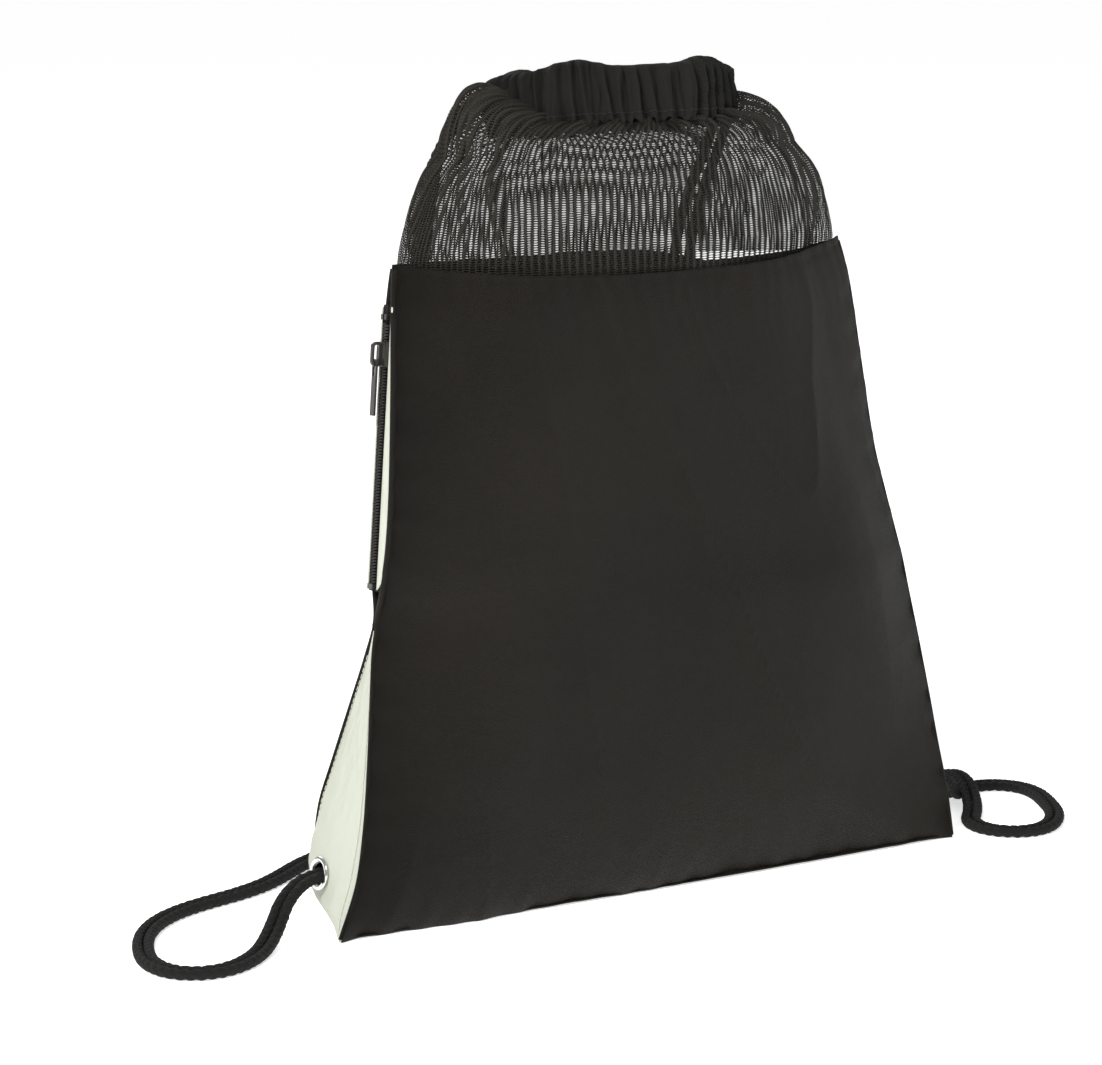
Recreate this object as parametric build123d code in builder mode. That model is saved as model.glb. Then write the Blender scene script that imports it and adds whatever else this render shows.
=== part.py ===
"""Drawstring backpack: a stuffed fabric bag with a net top, a zipped front pocket and two drawcords.

Millimetres, +Z up, +X to the bag's right as seen from the front, front panel facing -Y.
The origin is under the middle of the bag, on the surface that it stands on.
"""

import os
from math import cos, pi, radians, sin, tan

from build123d import *

os.makedirs("parts", exist_ok=True)

# ---------------------------------------------------------------- driving dimensions

FABRIC = 1.0  # wall of a stuffed fabric panel, seam allowances and stuffing included
SEAM_GAP = 0.5  # clearance between two panels along their seam
HEM_Z = 311.0  # top edge of the front and back panels

# Cross-sections of the stuffed bag, from the base up. Each row: height, then the ends of
# the four side seams (front left, back left, front right, back right), then how far the
# front and the back belly out, and how square the bellies are.
SECTIONS = [
    (0.0, (-177.5, -38.0), (-145.0, 33.0), (177.5, -38.0), (145.0, 33.0), 41.0, 38.0, 2.2),
    (25.0, (-165.5, -33.7), (-156.0, 26.0), (176.0, -33.7), (158.0, 26.0), 47.0, 46.0, 2.6),
    (50.0, (-159.0, -29.5), (-158.0, 19.0), (172.5, -29.5), (163.0, 19.0), 51.0, 50.5, 2.8),
    (75.0, (-154.5, -25.2), (-153.5, 12.0), (169.5, -25.2), (163.5, 12.0), 53.0, 53.0, 3.0),
    (105.0, (-150.0, -20.1), (-150.6, -1.5), (165.5, -20.1), (163.0, -1.5), 54.0, 54.0, 3.0),
    (130.0, (-146.3, -15.8), (-146.9, -10.5), (161.8, -15.8), (161.2, -10.5), 54.0, 54.0, 3.0),
    (146.0, (-143.3, -14.8), (-143.3, -12.4), (158.8, -14.2), (158.8, -11.8), 54.0, 54.0, 3.0),
    (161.0, (-143.4, -20.6), (-141.0, -7.4), (155.0, -12.9), (155.0, -10.5), 53.6, 53.6, 3.0),
    (180.0, (-141.4, -22.6), (-137.1, -0.8), (149.8, -11.5), (149.8, -9.1), 53.0, 53.0, 3.0),
    (205.0, (-139.4, -22.6), (-133.8, 1.6), (143.4, -9.7), (143.4, -7.3), 52.0, 52.0, 2.9),
    (249.0, (-135.6, -18.2), (-129.6, 3.6), (137.0, -6.0), (137.0, -3.6), 49.0, 49.0, 2.6),
    (285.0, (-131.0, -10.6), (-127.6, 3.0), (132.0, -3.0), (132.0, -0.6), 44.0, 44.0, 2.4),
    (300.0, (-127.0, -3.6), (-126.6, 1.6), (128.6, -1.8), (128.6, 0.6), 41.0, 41.0, 2.3),
    (HEM_Z, (-125.0, -1.2), (-125.0, 1.2), (125.0, -1.2), (125.0, 1.2), 38.5, 38.5, 2.2),
]
BELLY_STEPS = (-1.0, -0.93, -0.75, -0.4, 0.0, 0.4, 0.75, 0.93, 1.0)

# Gussets: height, middle of the left panel, middle of the right panel. Their edges follow
# the side seams to the upper corner.
GUSSET_MIDDLES = [
    (0.0, (-162.0, -2.0), (162.0, -2.0)),
    (25.0, (-172.6, -3.0), (177.2, -5.0)),
    (50.0, (-165.5, -3.5), (174.6, -5.0)),
    (75.0, (-157.4, -5.0), (170.6, -6.5)),
    (105.0, (-152.0, -10.8), (165.6, -10.8)),
    (126.0, (-148.1, -12.8), (162.7, -12.8)),
]

# Inner wall of the front pocket: height, how far it bellies forward
LINING_BELLIES = [
    (3.0, 34.0),
    (40.0, 24.0),
    (75.0, 21.0),
    (105.0, 20.0),
    (130.0, 20.0),
    (148.0, 20.0),
    (175.0, 20.0),
    (205.0, 20.0),
    (265.0, 26.0),
    (309.0, 33.5),
]
LINING_INSET = 5.5  # from the left seam
LINING_RIGHT_INSET = 9.0  # from the right seam, clear of its seam allowance

# Mouth: an ellipse on a plane that leans back, since the cords pull its back down
MOUTH_CENTRE = (-5.0, 0.0, 370.0)
MOUTH_LEAN = 9.8  # degrees
CHANNEL_HALF_X = 62.0
CHANNEL_HALF_Y = 34.5
CHANNEL_DEPTH = 9.0  # outer wall to inner wall
CHANNEL_HEIGHT = 30.0
CHANNEL_GAP_X = 50.0  # beyond this the casing is open, where the cords come out

# Net: height, left edge, right edge, half depth
NET_SECTIONS = [
    (HEM_Z + SEAM_GAP, -124.4, 124.4, 38.0),
    (330.0, -119.5, 119.5, 37.4),
    (348.0, -111.0, 110.0, 36.6),
    (360.0, -100.0, 98.0, 35.6),
]
NET_WALL = 0.8
NET_GAP = 1.0  # half the space between the two halves of the net at the side seams

# Side zipper: straight, from its bottom stop to its top
ZIP_FOOT = Vector(-144.5, -13.5, 161.0)
ZIP_HEAD = Vector(-130.0, -3.5, 292.0)
TAPE_INNER = 0.7  # from the middle of the zipper to the tape's edge
TAPE_OUTER = 5.0
TAPE_WALL = 0.6
COIL_INNER = 0.6
COIL_OUTER = 2.3
COIL_WALL = 1.6
ZIP_CLEAR = 0.35
PLACKET_INNER = 4.4
PLACKET_BELLY = 7.0
PLACKET_WALL = 0.8
PLACKET_FRONT_TURN = 10.0  # degrees that each lip leans into the bag
PLACKET_BACK_TURN = 35.0
SLIDER_REST = 110.0  # the slider's middle, along the zipper from its foot
SLIDER_LENGTH = 11.6
SLIDER_WIDTH = 8.0
SLIDER_PLATE = 1.0
SLIDER_RISE = 10.0  # travel left above the rest position
BAIL_HEIGHT = 4.9
BAIL_BAR = 1.5
PULL_PIN = 1.4  # diameter of the pull's cross bar
PULL_SLOT = 7.0  # from the cross bar to the solid part of the pull
PULL_REACH = 25.5  # from the cross bar to the pull's tip
PULL_WIDTH = 3.9
PULL_WALL = 1.1
STOP_LENGTH = 2.6

# Grommets: nickel eyelets in the gussets
GROMMET_OD = 16.0
GROMMET_ID = 10.8
GROMMET_BARREL = 0.6  # wall of its barrel
GROMMET_FLANGE = 1.1
GROMMET_REACH = 4.6  # from the flange's back face to the rolled end inside
GROMMETS = {
    "left": (Vector(-172.7, -9.5, 26.0), Vector(-1.0, -0.03, 0.17)),
    "right": (Vector(177.8, -9.5, 26.0), Vector(1.0, 0.13, 0.0)),
}

# Drawcords
CORD = 4.8  # diameter
CORD_PITCH = 5.1  # between the two strands where they lie side by side
RING_HEIGHTS = {"left": 21.0, "right": 12.0}  # along the casing, from its lower edge
RING_STEP = 15.5  # degrees between two points of the route inside the casing
RING_OPEN = 34.0  # degrees each side of the exit that the ring leaves out
ENTRY_REACH = {"left": (28.0, 16.0), "right": (36.0, 10.0)}  # how far each bend is led out
KNOT_RADIUS = 8.5

# What a stretch of cord lies on: the direction that faces away from it
FLOOR = (0.0, 0.0, 1.0)
BACK = (0.0, 1.0, 0.0)
HEEL = (0.0, 1.0, 1.0)

# Each route runs from inside the grommet to the casing, along the middle of the two
# strands: a point, what it lies on, and half the distance between the strands.
HALF = CORD_PITCH / 2
ROUTES = {
    "left": [
        ((-157.0, -9.2, 25.8), FLOOR, HALF),
        ((-177.5, -9.5, 26.3), FLOOR, HALF),
        ((-193.5, -14.2, 18.7), FLOOR, HALF),
        ((-203.9, -23.3, 7.5), FLOOR, HALF),
        ((-216.4, -36.5, 2.5), FLOOR, HALF),
        ((-230.5, -49.1, 2.6), FLOOR, HALF),
        ((-242.9, -54.5, 2.5), FLOOR, HALF),
        ((-254.8, -54.4, 2.5), FLOOR, HALF),
        ((-264.8, -47.8, 2.5), FLOOR, HALF),
        ((-269.4, -36.6, 2.5), FLOOR, HALF),
        ((-269.0, -21.5, 2.5), FLOOR, HALF),
        ((-261.4, -1.0, 2.5), FLOOR, HALF),
        ((-252.0, 15.5, 2.5), FLOOR, HALF),
        ((-239.2, 29.5, 2.5), FLOOR, HALF),
        ((-223.2, 39.6, 2.5), FLOOR, HALF),
        ((-205.3, 45.9, 2.5), FLOOR, HALF),
        ((-186.9, 50.7, 2.5), FLOOR, HALF),
        ((-169.5, 58.1, 2.5), FLOOR, HALF),
        ((-153.8, 68.8, 2.5), FLOOR, HALF),
        ((-138.9, 80.6, 2.5), FLOOR, HALF),
        ((-122.5, 90.1, 2.5), FLOOR, HALF),
        ((-103.9, 92.9, 2.6), FLOOR, HALF),
        ((-87.3, 86.0, 2.8), FLOOR, HALF),
        ((-79.3, 74.4, 9.5), (0.0, 0.53, 0.85), HALF),
        ((-79.1, 64.1, 24.8), (0.0, 0.71, 0.71), HALF),
        ((-81.1, 59.9, 43.4), (0.0, 0.99, 0.17), HALF),
        ((-83.3, 58.6, 70.5), BACK, HALF),
        ((-86.9, 58.1, 110.9), BACK, HALF),
        ((-89.3, 55.6, 152.7), BACK, HALF),
        ((-91.4, 51.5, 194.5), BACK, HALF),
        ((-92.4, 46.4, 236.1), BACK, HALF),
        ((-92.2, 40.3, 277.6), BACK, HALF),
        ((-93.5, 32.7, 316.4), BACK, HALF),
        ((-92.8, 25.8, 341.1), (-0.13, 0.99, 0.04), 2.65),
        ((-91.5, 21.5, 356.0), (-0.59, 0.78, 0.2), 3.0),
    ],
    "right": [
        ((162.0, -11.0, 26.0), FLOOR, HALF),
        ((182.5, -8.9, 26.2), FLOOR, HALF),
        ((198.5, -3.4, 20.6), FLOOR, HALF),
        ((208.8, 7.3, 10.7), FLOOR, HALF),
        ((221.1, 19.5, 3.3), FLOOR, HALF),
        ((233.9, 28.6, 2.5), FLOOR, HALF),
        ((246.0, 31.5, 2.5), FLOOR, HALF),
        ((257.5, 27.5, 2.5), FLOOR, HALF),
        ((265.0, 17.2, 2.5), FLOOR, HALF),
        ((265.2, 3.5, 2.5), FLOOR, HALF),
        ((257.4, -16.1, 2.5), FLOOR, HALF),
        ((248.9, -33.0, 2.5), FLOOR, HALF),
        ((236.5, -47.3, 2.5), FLOOR, HALF),
        ((223.9, -54.9, 2.5), FLOOR, HALF),
        ((211.0, -55.0, 2.5), FLOOR, HALF),
        ((200.7, -47.5, 2.5), FLOOR, HALF),
        ((196.7, -36.0, 2.5), FLOOR, HALF),
        ((200.1, -23.2, 2.5), FLOOR, HALF),
        ((212.6, -9.7, 2.5), FLOOR, HALF),
        ((223.5, 5.6, 4.3), FLOOR, HALF),
        ((231.7, 22.1, 8.7), FLOOR, HALF),
        ((237.8, 39.9, 8.6), FLOOR, HALF),
        ((239.7, 57.8, 3.4), FLOOR, HALF),
        ((231.3, 73.7, 2.5), FLOOR, HALF),
        ((214.9, 82.8, 2.5), FLOOR, HALF),
        ((196.1, 84.5, 2.5), FLOOR, HALF),
        ((177.5, 81.5, 2.5), FLOOR, HALF),
        ((159.1, 76.7, 2.5), FLOOR, HALF),
        ((140.5, 73.7, 2.5), FLOOR, HALF),
        ((121.5, 74.0, 2.5), FLOOR, HALF),
        ((103.1, 78.3, 2.5), FLOOR, HALF),
        ((86.0, 85.9, 2.5), FLOOR, HALF),
        ((71.3, 86.8, 2.8), FLOOR, HALF),
        ((59.2, 78.9, 8.8), (0.0, 0.34, 0.94), HALF),
        ((57.7, 66.0, 21.3), (0.0, 0.71, 0.71), HALF),
        ((57.8, 62.2, 39.4), (0.0, 0.91, 0.41), HALF),
        ((59.4, 61.1, 63.7), BACK, HALF),
        ((60.5, 61.0, 102.1), BACK, 2.83),
        ((60.1, 60.1, 143.9), BACK, 3.78),
        ((61.5, 57.0, 185.6), BACK, 4.6),
        ((61.5, 54.1, 227.4), BACK, 4.77),
        ((62.3, 50.2, 269.1), BACK, 4.8),
        ((65.0, 47.0, 308.0), BACK, 4.43),
        ((69.0, 42.5, 333.0), (0.12, 0.99, 0.12), 3.78),
        ((73.5, 37.5, 348.5), (0.28, 0.92, 0.28), 3.2),
    ],
}

# ---------------------------------------------------------------- shared geometry


def at_height(rows, z, column):
    """A column of a table of (height, value, ...), straight between its rows."""
    for low, high in zip(rows, rows[1:]):
        if z <= high[0]:
            share = (z - low[0]) / (high[0] - low[0])
            if isinstance(low[column], tuple):
                return tuple(a + (b - a) * share for a, b in zip(low[column], high[column]))
            return low[column] + (high[column] - low[column]) * share
    return rows[-1][column]


def belly(left, right, depth, squareness):
    """Points of a panel's cross-section that bellies out to y = depth between two seams."""
    points = []
    for step in BELLY_STEPS:
        share = (step + 1) / 2
        x = left[0] + (right[0] - left[0]) * share
        base = left[1] + (right[1] - left[1]) * share
        middle = (left[1] + right[1]) / 2
        points.append((x, base + (depth - middle) * (1 - abs(step) ** squareness)))
    return points


def moved_in(points, wall):
    """The same curve moved to its left by the wall, as seen along its direction."""
    moved = []
    for index, point in enumerate(points):
        before = points[max(index - 1, 0)]
        after = points[min(index + 1, len(points) - 1)]
        along = Vector(after[0] - before[0], after[1] - before[1]).normalized()
        moved.append((point[0] - along.Y * wall, point[1] + along.X * wall))
    return moved


def wall_section(plane, points, wall):
    """A thin closed section between a curve and the same curve moved by the wall."""
    inner = moved_in(points, wall)
    with BuildSketch(plane) as section:
        with BuildLine():
            Spline(points)
            Line(points[-1], inner[-1])
            Spline(inner[::-1])
            Line(inner[0], points[0])
        make_face()
    return section.sketch


def mouth_plane(height):
    """The plane of the casing, this far along its lean from its lower edge."""
    lean = radians(MOUTH_LEAN)
    along = Vector(0, sin(lean), cos(lean))
    return Plane(Vector(*MOUTH_CENTRE) + along * height, x_dir=(1, 0, 0), z_dir=along)


def half_ellipse(half_x, half_y, sign):
    """Points of half an ellipse, from its left end to its right, through y = sign * half_y."""
    angles = (180, 160, 140, 115, 90, 65, 40, 20, 0)
    return [(half_x * cos(radians(a)), sign * half_y * sin(radians(a))) for a in angles]


zip_along = (ZIP_HEAD - ZIP_FOOT).normalized()
zip_length = (ZIP_HEAD - ZIP_FOOT).length
zip_out = (Vector(-1, 0, 0) - zip_along * Vector(-1, 0, 0).dot(zip_along)).normalized()
# Local x runs up the zipper, y towards the bag's back and z out of the bag
zip_frame = Plane(ZIP_FOOT, x_dir=zip_along, z_dir=zip_out)

# ---------------------------------------------------------------- fabric panels

with BuildPart() as front_panel:
    for z, front_left, _, front_right, _, forward, _, squareness in SECTIONS:
        curve = belly(front_left, front_right, -forward, squareness)
        add(wall_section(Plane.XY.offset(z), curve, FABRIC))
    loft()
front_panel.part.label = "front_panel"

with BuildPart() as back_panel:
    for z, _, back_left, _, back_right, _, backward, squareness in SECTIONS:
        curve = belly(back_left, back_right, backward, squareness)
        add(wall_section(Plane.XY.offset(z), curve, -FABRIC))
    loft()
back_panel.part.label = "back_panel"

with BuildPart() as front_lining:
    for z, forward in LINING_BELLIES:
        front_left = at_height(SECTIONS, z, 1)
        front_right = at_height(SECTIONS, z, 3)
        back_left = at_height(SECTIONS, z, 2)
        behind = min(max((z - 148) / 27, 0), 1) * min(max((300 - z) / 25, 0), 1)
        left_y = front_left[1] + 2.0
        left_y += (back_left[1] - 6.0 - left_y) * behind
        left = (front_left[0] + LINING_INSET, left_y)
        right = (front_right[0] - LINING_RIGHT_INSET, front_right[1] + 2.5)
        curve = belly(left, right, -forward, 2.2)
        add(wall_section(Plane.XY.offset(z), curve, FABRIC))
    loft(ruled=True)
front_lining.part.label = "front_lining"

with BuildPart() as bottom_panel:
    front_edge = belly((-172.0, -35.0), (172.0, -35.0), -38.5, 2.2)
    back_edge = belly((-140.0, 29.5), (140.0, 29.5), 35.0, 2.2)
    with BuildSketch(Plane.XY):
        with BuildLine():
            Spline(front_edge)
            Line(front_edge[-1], back_edge[-1])
            Spline(back_edge[::-1])
            Line(back_edge[0], front_edge[0])
        make_face()
    extrude(amount=FABRIC)
bottom_panel.part.label = "bottom_panel"


def gusset_curve(z, side):
    """Ends and middle of a gusset's cross-section, just inside its two seams."""
    front = at_height(SECTIONS, z, 1 if side == "left" else 3)
    back = at_height(SECTIONS, z, 2 if side == "left" else 4)
    middle = at_height(GUSSET_MIDDLES, z, 1 if side == "left" else 2)
    edge = FABRIC + 2.4 * SEAM_GAP
    return (front[0], front[1] + edge), middle, (back[0], back[1] - edge)


def gusset_section(z, side):
    """Thin section of a gusset, as an arc through its ends and middle."""
    front, middle, back = gusset_curve(z, side)
    inward = FABRIC if side == "left" else -FABRIC
    with BuildSketch(Plane.XY.offset(z)) as section:
        with BuildLine():
            ThreePointArc(front, middle, back)
            inner = [(p[0] + inward, p[1]) for p in (front, middle, back)]
            Line(back, inner[2])
            ThreePointArc(inner[2], inner[1], inner[0])
            Line(inner[0], front)
        make_face()
    return section.sketch


gusset_heights = [row[0] for row in GUSSET_MIDDLES]

with BuildPart() as gusset_left:
    for z in gusset_heights:
        add(gusset_section(z, "left"))
    loft()
    centre, axis = GROMMETS["left"]
    with BuildSketch(Plane(centre + axis.normalized() * 6, z_dir=axis * -1)):
        Circle(GROMMET_ID / 2 + GROMMET_BARREL + 0.3)
    extrude(amount=14, mode=Mode.SUBTRACT)
gusset_left.part.label = "gusset_left"

with BuildPart() as gusset_right:
    for z in gusset_heights:
        add(gusset_section(z, "right"))
    loft()
    centre, axis = GROMMETS["right"]
    with BuildSketch(Plane(centre + axis.normalized() * 6, z_dir=axis * -1)):
        Circle(GROMMET_ID / 2 + GROMMET_BARREL + 0.3)
    extrude(amount=14, mode=Mode.SUBTRACT)
gusset_right.part.label = "gusset_right"

# ---------------------------------------------------------------- net and casing


def net_curve(left, right, depth, roundness):
    """From a pointed lens (roundness 0) to half an ellipse (roundness 1)."""
    points = []
    for step in BELLY_STEPS:
        x = left + (right - left) * (step + 1) / 2
        lens = 1 - abs(step) ** 2.2
        oval = max(1 - step * step, 0) ** 0.5
        points.append((x, depth * (lens + (oval - lens) * roundness)))
    return points


with BuildPart() as mesh_front:
    for index, (z, left, right, depth) in enumerate(NET_SECTIONS):
        curve = [(x, y - NET_GAP) for x, y in net_curve(left, right, -depth, index * 0.2)]
        add(wall_section(Plane.XY.offset(z), curve, NET_WALL))
    rim = half_ellipse(CHANNEL_HALF_X - 0.5, CHANNEL_HALF_Y - 0.5, -1)
    rim = [(x, y - NET_GAP) for x, y in rim]
    add(wall_section(mouth_plane(-SEAM_GAP), rim, NET_WALL))
    loft()
mesh_front.part.label = "mesh_front"

with BuildPart() as mesh_back:
    for index, (z, left, right, depth) in enumerate(NET_SECTIONS):
        curve = [(x, y + NET_GAP) for x, y in net_curve(left, right, depth, index * 0.2)]
        add(wall_section(Plane.XY.offset(z), curve, -NET_WALL))
    rim = half_ellipse(CHANNEL_HALF_X - 0.5, CHANNEL_HALF_Y - 0.5, 1)
    rim = [(x, y + NET_GAP) for x, y in rim]
    add(wall_section(mouth_plane(-SEAM_GAP), rim, -NET_WALL))
    loft()
mesh_back.part.label = "mesh_back"


def casing(sign):
    """One half of the casing: a tube of fabric, open at both ends, for the cords."""
    inner_x = CHANNEL_HALF_X - CHANNEL_DEPTH
    inner_y = CHANNEL_HALF_Y - CHANNEL_DEPTH
    with BuildPart() as half:
        with BuildSketch(mouth_plane(0)):
            Ellipse(CHANNEL_HALF_X, CHANNEL_HALF_Y)
            Ellipse(inner_x, inner_y, mode=Mode.SUBTRACT)
            with Locations((0, sign * CHANNEL_HALF_Y)):
                Rectangle(2 * CHANNEL_GAP_X, 2 * CHANNEL_HALF_Y, mode=Mode.INTERSECT)
        extrude(amount=CHANNEL_HEIGHT)
        with BuildSketch(mouth_plane(FABRIC)):
            Ellipse(CHANNEL_HALF_X - FABRIC, CHANNEL_HALF_Y - FABRIC)
            Ellipse(inner_x + FABRIC, inner_y + FABRIC, mode=Mode.SUBTRACT)
        extrude(amount=CHANNEL_HEIGHT - 2 * FABRIC, mode=Mode.SUBTRACT)
    return half.part


with BuildPart() as channel_front:
    add(casing(-1))
channel_front.part.label = "channel_front"

with BuildPart() as channel_back:
    add(casing(1))
channel_back.part.label = "channel_back"

# ---------------------------------------------------------------- zipper

tape_middle = (TAPE_INNER + TAPE_OUTER) / 2
coil_middle = (COIL_INNER + COIL_OUTER) / 2
coil_out = TAPE_WALL / 2 + 0.25 + COIL_WALL / 2

with BuildPart(zip_frame) as zip_tape_front:
    with Locations((zip_length / 2, -tape_middle, 0)):
        Box(zip_length + 2, TAPE_OUTER - TAPE_INNER, TAPE_WALL)
zip_tape_front.part.label = "zip_tape_front"

with BuildPart(zip_frame) as zip_tape_back:
    with Locations((zip_length / 2, tape_middle, 0)):
        Box(zip_length + 2, TAPE_OUTER - TAPE_INNER, TAPE_WALL)
zip_tape_back.part.label = "zip_tape_back"

coil_start = STOP_LENGTH + 0.4
coil_end = SLIDER_REST + SLIDER_RISE + SLIDER_LENGTH / 2
coil_length = coil_end - coil_start

with BuildPart(zip_frame) as zip_coil_front:
    with Locations((coil_start + coil_length / 2, -coil_middle, coil_out)):
        Box(coil_length, COIL_OUTER - COIL_INNER, COIL_WALL)
zip_coil_front.part.label = "zip_coil_front"

with BuildPart(zip_frame) as zip_coil_back:
    with Locations((coil_start + coil_length / 2, coil_middle, coil_out)):
        Box(coil_length, COIL_OUTER - COIL_INNER, COIL_WALL)
zip_coil_back.part.label = "zip_coil_back"

stop_out = TAPE_WALL / 2 + 0.3 + 1.1

with BuildPart(zip_frame) as zip_bottom_stop:
    with Locations((STOP_LENGTH / 2, 0, stop_out)):
        Box(STOP_LENGTH, 2 * COIL_OUTER, 2.2)
zip_bottom_stop.part.label = "zip_bottom_stop"

with BuildPart(zip_frame) as zip_stop_front:
    with Locations((coil_end + 0.4 + STOP_LENGTH / 2, -coil_middle - 0.2, stop_out)):
        Box(STOP_LENGTH, 2.0, 2.2)
zip_stop_front.part.label = "zip_stop_front"

with BuildPart(zip_frame) as zip_stop_back:
    with Locations((coil_end + 0.4 + STOP_LENGTH / 2, coil_middle + 0.2, stop_out)):
        Box(STOP_LENGTH, 2.0, 2.2)
zip_stop_back.part.label = "zip_stop_back"


def placket(sign, turn):
    """A lip of cloth beside the zipper, widest in the middle and pointed at its top."""
    lean = radians(turn)
    across = Vector(0, sign * cos(lean), -sin(lean))
    start = (0, sign * PLACKET_INNER, TAPE_WALL / 2 + 0.7)
    plane = Plane(start, x_dir=(1, 0, 0), z_dir=Vector(1, 0, 0).cross(across))
    edge = [(0, 2.2), (6, 5.2), (22, 6.6), (58, PLACKET_BELLY), (95, 5.6), (118, 3.4), (zip_length, 1.0)]
    with BuildPart() as lip:
        with BuildSketch(zip_frame * plane):
            with BuildLine():
                Polyline((zip_length, 1.0), (zip_length, 0), (0, 0), (0, 2.2))
                Spline(edge)
            make_face()
        extrude(amount=sign * PLACKET_WALL)
    return lip.part


with BuildPart() as placket_front:
    add(placket(-1, PLACKET_FRONT_TURN))
placket_front.part.label = "placket_front"

with BuildPart() as placket_back:
    add(placket(1, PLACKET_BACK_TURN))
placket_back.part.label = "placket_back"

# The slider: two plates with the tapes between them, joined by a post in the slit
coil_top = coil_out + COIL_WALL / 2
plate_low = coil_top + ZIP_CLEAR
plate_top = plate_low + SLIDER_PLATE
wall_inner = COIL_OUTER + ZIP_CLEAR
wall_low = TAPE_WALL / 2 + ZIP_CLEAR
under_low = -TAPE_WALL / 2 - ZIP_CLEAR - SLIDER_PLATE

with BuildPart(zip_frame) as zip_slider:
    with Locations((SLIDER_REST, 0, plate_low + SLIDER_PLATE / 2)):
        Box(SLIDER_LENGTH, SLIDER_WIDTH, SLIDER_PLATE)
    with Locations((SLIDER_REST, 0, under_low + SLIDER_PLATE / 2)):
        Box(SLIDER_LENGTH, SLIDER_WIDTH, SLIDER_PLATE)
    post_length = 2.4
    with Locations((SLIDER_REST + (SLIDER_LENGTH - post_length) / 2, 0, (under_low + plate_top) / 2)):
        Box(post_length, 0.6, plate_top - under_low)
    for sign in (-1, 1):
        flange = SLIDER_WIDTH / 2 - wall_inner
        with Locations((SLIDER_REST, sign * (wall_inner + flange / 2), (wall_low + plate_top) / 2)):
            Box(SLIDER_LENGTH, flange, plate_top - wall_low)
    bail_foot = zip_frame.from_local_coords((SLIDER_REST, 0, plate_top))
    with BuildSketch(Plane(bail_foot, x_dir=zip_along, z_dir=zip_frame.y_dir * -1)):
        with Locations((0, BAIL_HEIGHT / 2 - 0.2)):
            RectangleRounded(SLIDER_LENGTH, BAIL_HEIGHT + 0.4, 2.4)
            bail_hole = (SLIDER_LENGTH - 2 * BAIL_BAR, BAIL_HEIGHT + 0.4 - 2 * BAIL_BAR)
            RectangleRounded(*bail_hole, 1.1, mode=Mode.SUBTRACT)
    extrude(amount=BAIL_BAR / 2, both=True)
zip_slider.part.label = "zip_slider"

# The pull hangs on a cross bar at the lower end of the slider's bail
pin_along = SLIDER_REST - SLIDER_LENGTH / 2 + BAIL_BAR + PULL_PIN / 2 + 0.3
pin_out = plate_top + BAIL_HEIGHT / 2 - 0.05
ear = (PULL_WIDTH - BAIL_BAR) / 2 - 0.35

with BuildPart(zip_frame) as zip_pull:
    with Locations((pin_along, 0, pin_out)):
        Cylinder(PULL_PIN / 2, PULL_WIDTH, rotation=(90, 0, 0))
    for sign in (-1, 1):
        ear_side = sign * (PULL_WIDTH - ear) / 2
        with Locations((pin_along, ear_side, pin_out)):
            Cylinder(1.1, ear, rotation=(90, 0, 0))
        with Locations((pin_along - PULL_SLOT / 2, ear_side, pin_out)):
            Box(PULL_SLOT, ear, PULL_WALL)
    with Locations((pin_along - (PULL_SLOT + PULL_REACH) / 2, 0, pin_out)):
        Box(PULL_REACH - PULL_SLOT, PULL_WIDTH, PULL_WALL)
zip_pull.part.label = "zip_pull"

pin_point = zip_frame.from_local_coords((pin_along, 0, pin_out))
print("zipper direction", zip_along, "across", zip_frame.y_dir, "pull's cross bar", pin_point)

# ---------------------------------------------------------------- side seam and eyelets

with BuildPart() as seam_right:
    for z in (150.0, 180.0, 205.0, 249.0, 285.0, 307.0):
        front_right = at_height(SECTIONS, z, 3)
        back_right = at_height(SECTIONS, z, 4)
        with BuildSketch(Plane.XY.offset(z)):
            with Locations((front_right[0] - 4.4, (front_right[1] + back_right[1]) / 2)):
                Rectangle(5.6, 0.9)
    loft()
seam_right.part.label = "seam_right"


def eyelet(side):
    """A grommet: an outside flange, a barrel through the cloth and a flared inner end."""
    centre, axis = GROMMETS[side]
    outward = axis.normalized()
    with BuildPart() as ring:
        with BuildSketch(Plane(centre + outward * 0.35, z_dir=outward)):
            Circle(GROMMET_OD / 2)
            Circle(GROMMET_ID / 2, mode=Mode.SUBTRACT)
        extrude(amount=GROMMET_FLANGE)
        fillet(ring.edges().filter_by(GeomType.CIRCLE).group_by(SortBy.RADIUS)[-1], 0.4)
        with BuildSketch(Plane(centre + outward * 0.4, z_dir=outward * -1)):
            Circle(GROMMET_ID / 2 + GROMMET_BARREL)
            Circle(GROMMET_ID / 2, mode=Mode.SUBTRACT)
        extrude(amount=GROMMET_REACH)
        with BuildSketch(Plane(centre - outward * (GROMMET_REACH - 0.4), z_dir=outward * -1)):
            Circle(GROMMET_ID / 2 + 1.4)
            Circle(GROMMET_ID / 2, mode=Mode.SUBTRACT)
        extrude(amount=0.6)
    return ring.part


def washer(side):
    """The ring that the grommet's inner end is rolled over."""
    centre, axis = GROMMETS[side]
    outward = axis.normalized()
    with BuildPart() as ring:
        with BuildSketch(Plane(centre - outward * 2.9, z_dir=outward * -1)):
            Circle(GROMMET_OD / 2 - 0.4)
            Circle(GROMMET_ID / 2 + GROMMET_BARREL + 0.1, mode=Mode.SUBTRACT)
        extrude(amount=0.9)
    return ring.part


with BuildPart() as grommet_left:
    add(eyelet("left"))
grommet_left.part.label = "grommet_left"

with BuildPart() as grommet_right:
    add(eyelet("right"))
grommet_right.part.label = "grommet_right"

with BuildPart() as grommet_washer_left:
    add(washer("left"))
grommet_washer_left.part.label = "grommet_washer_left"

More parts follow.
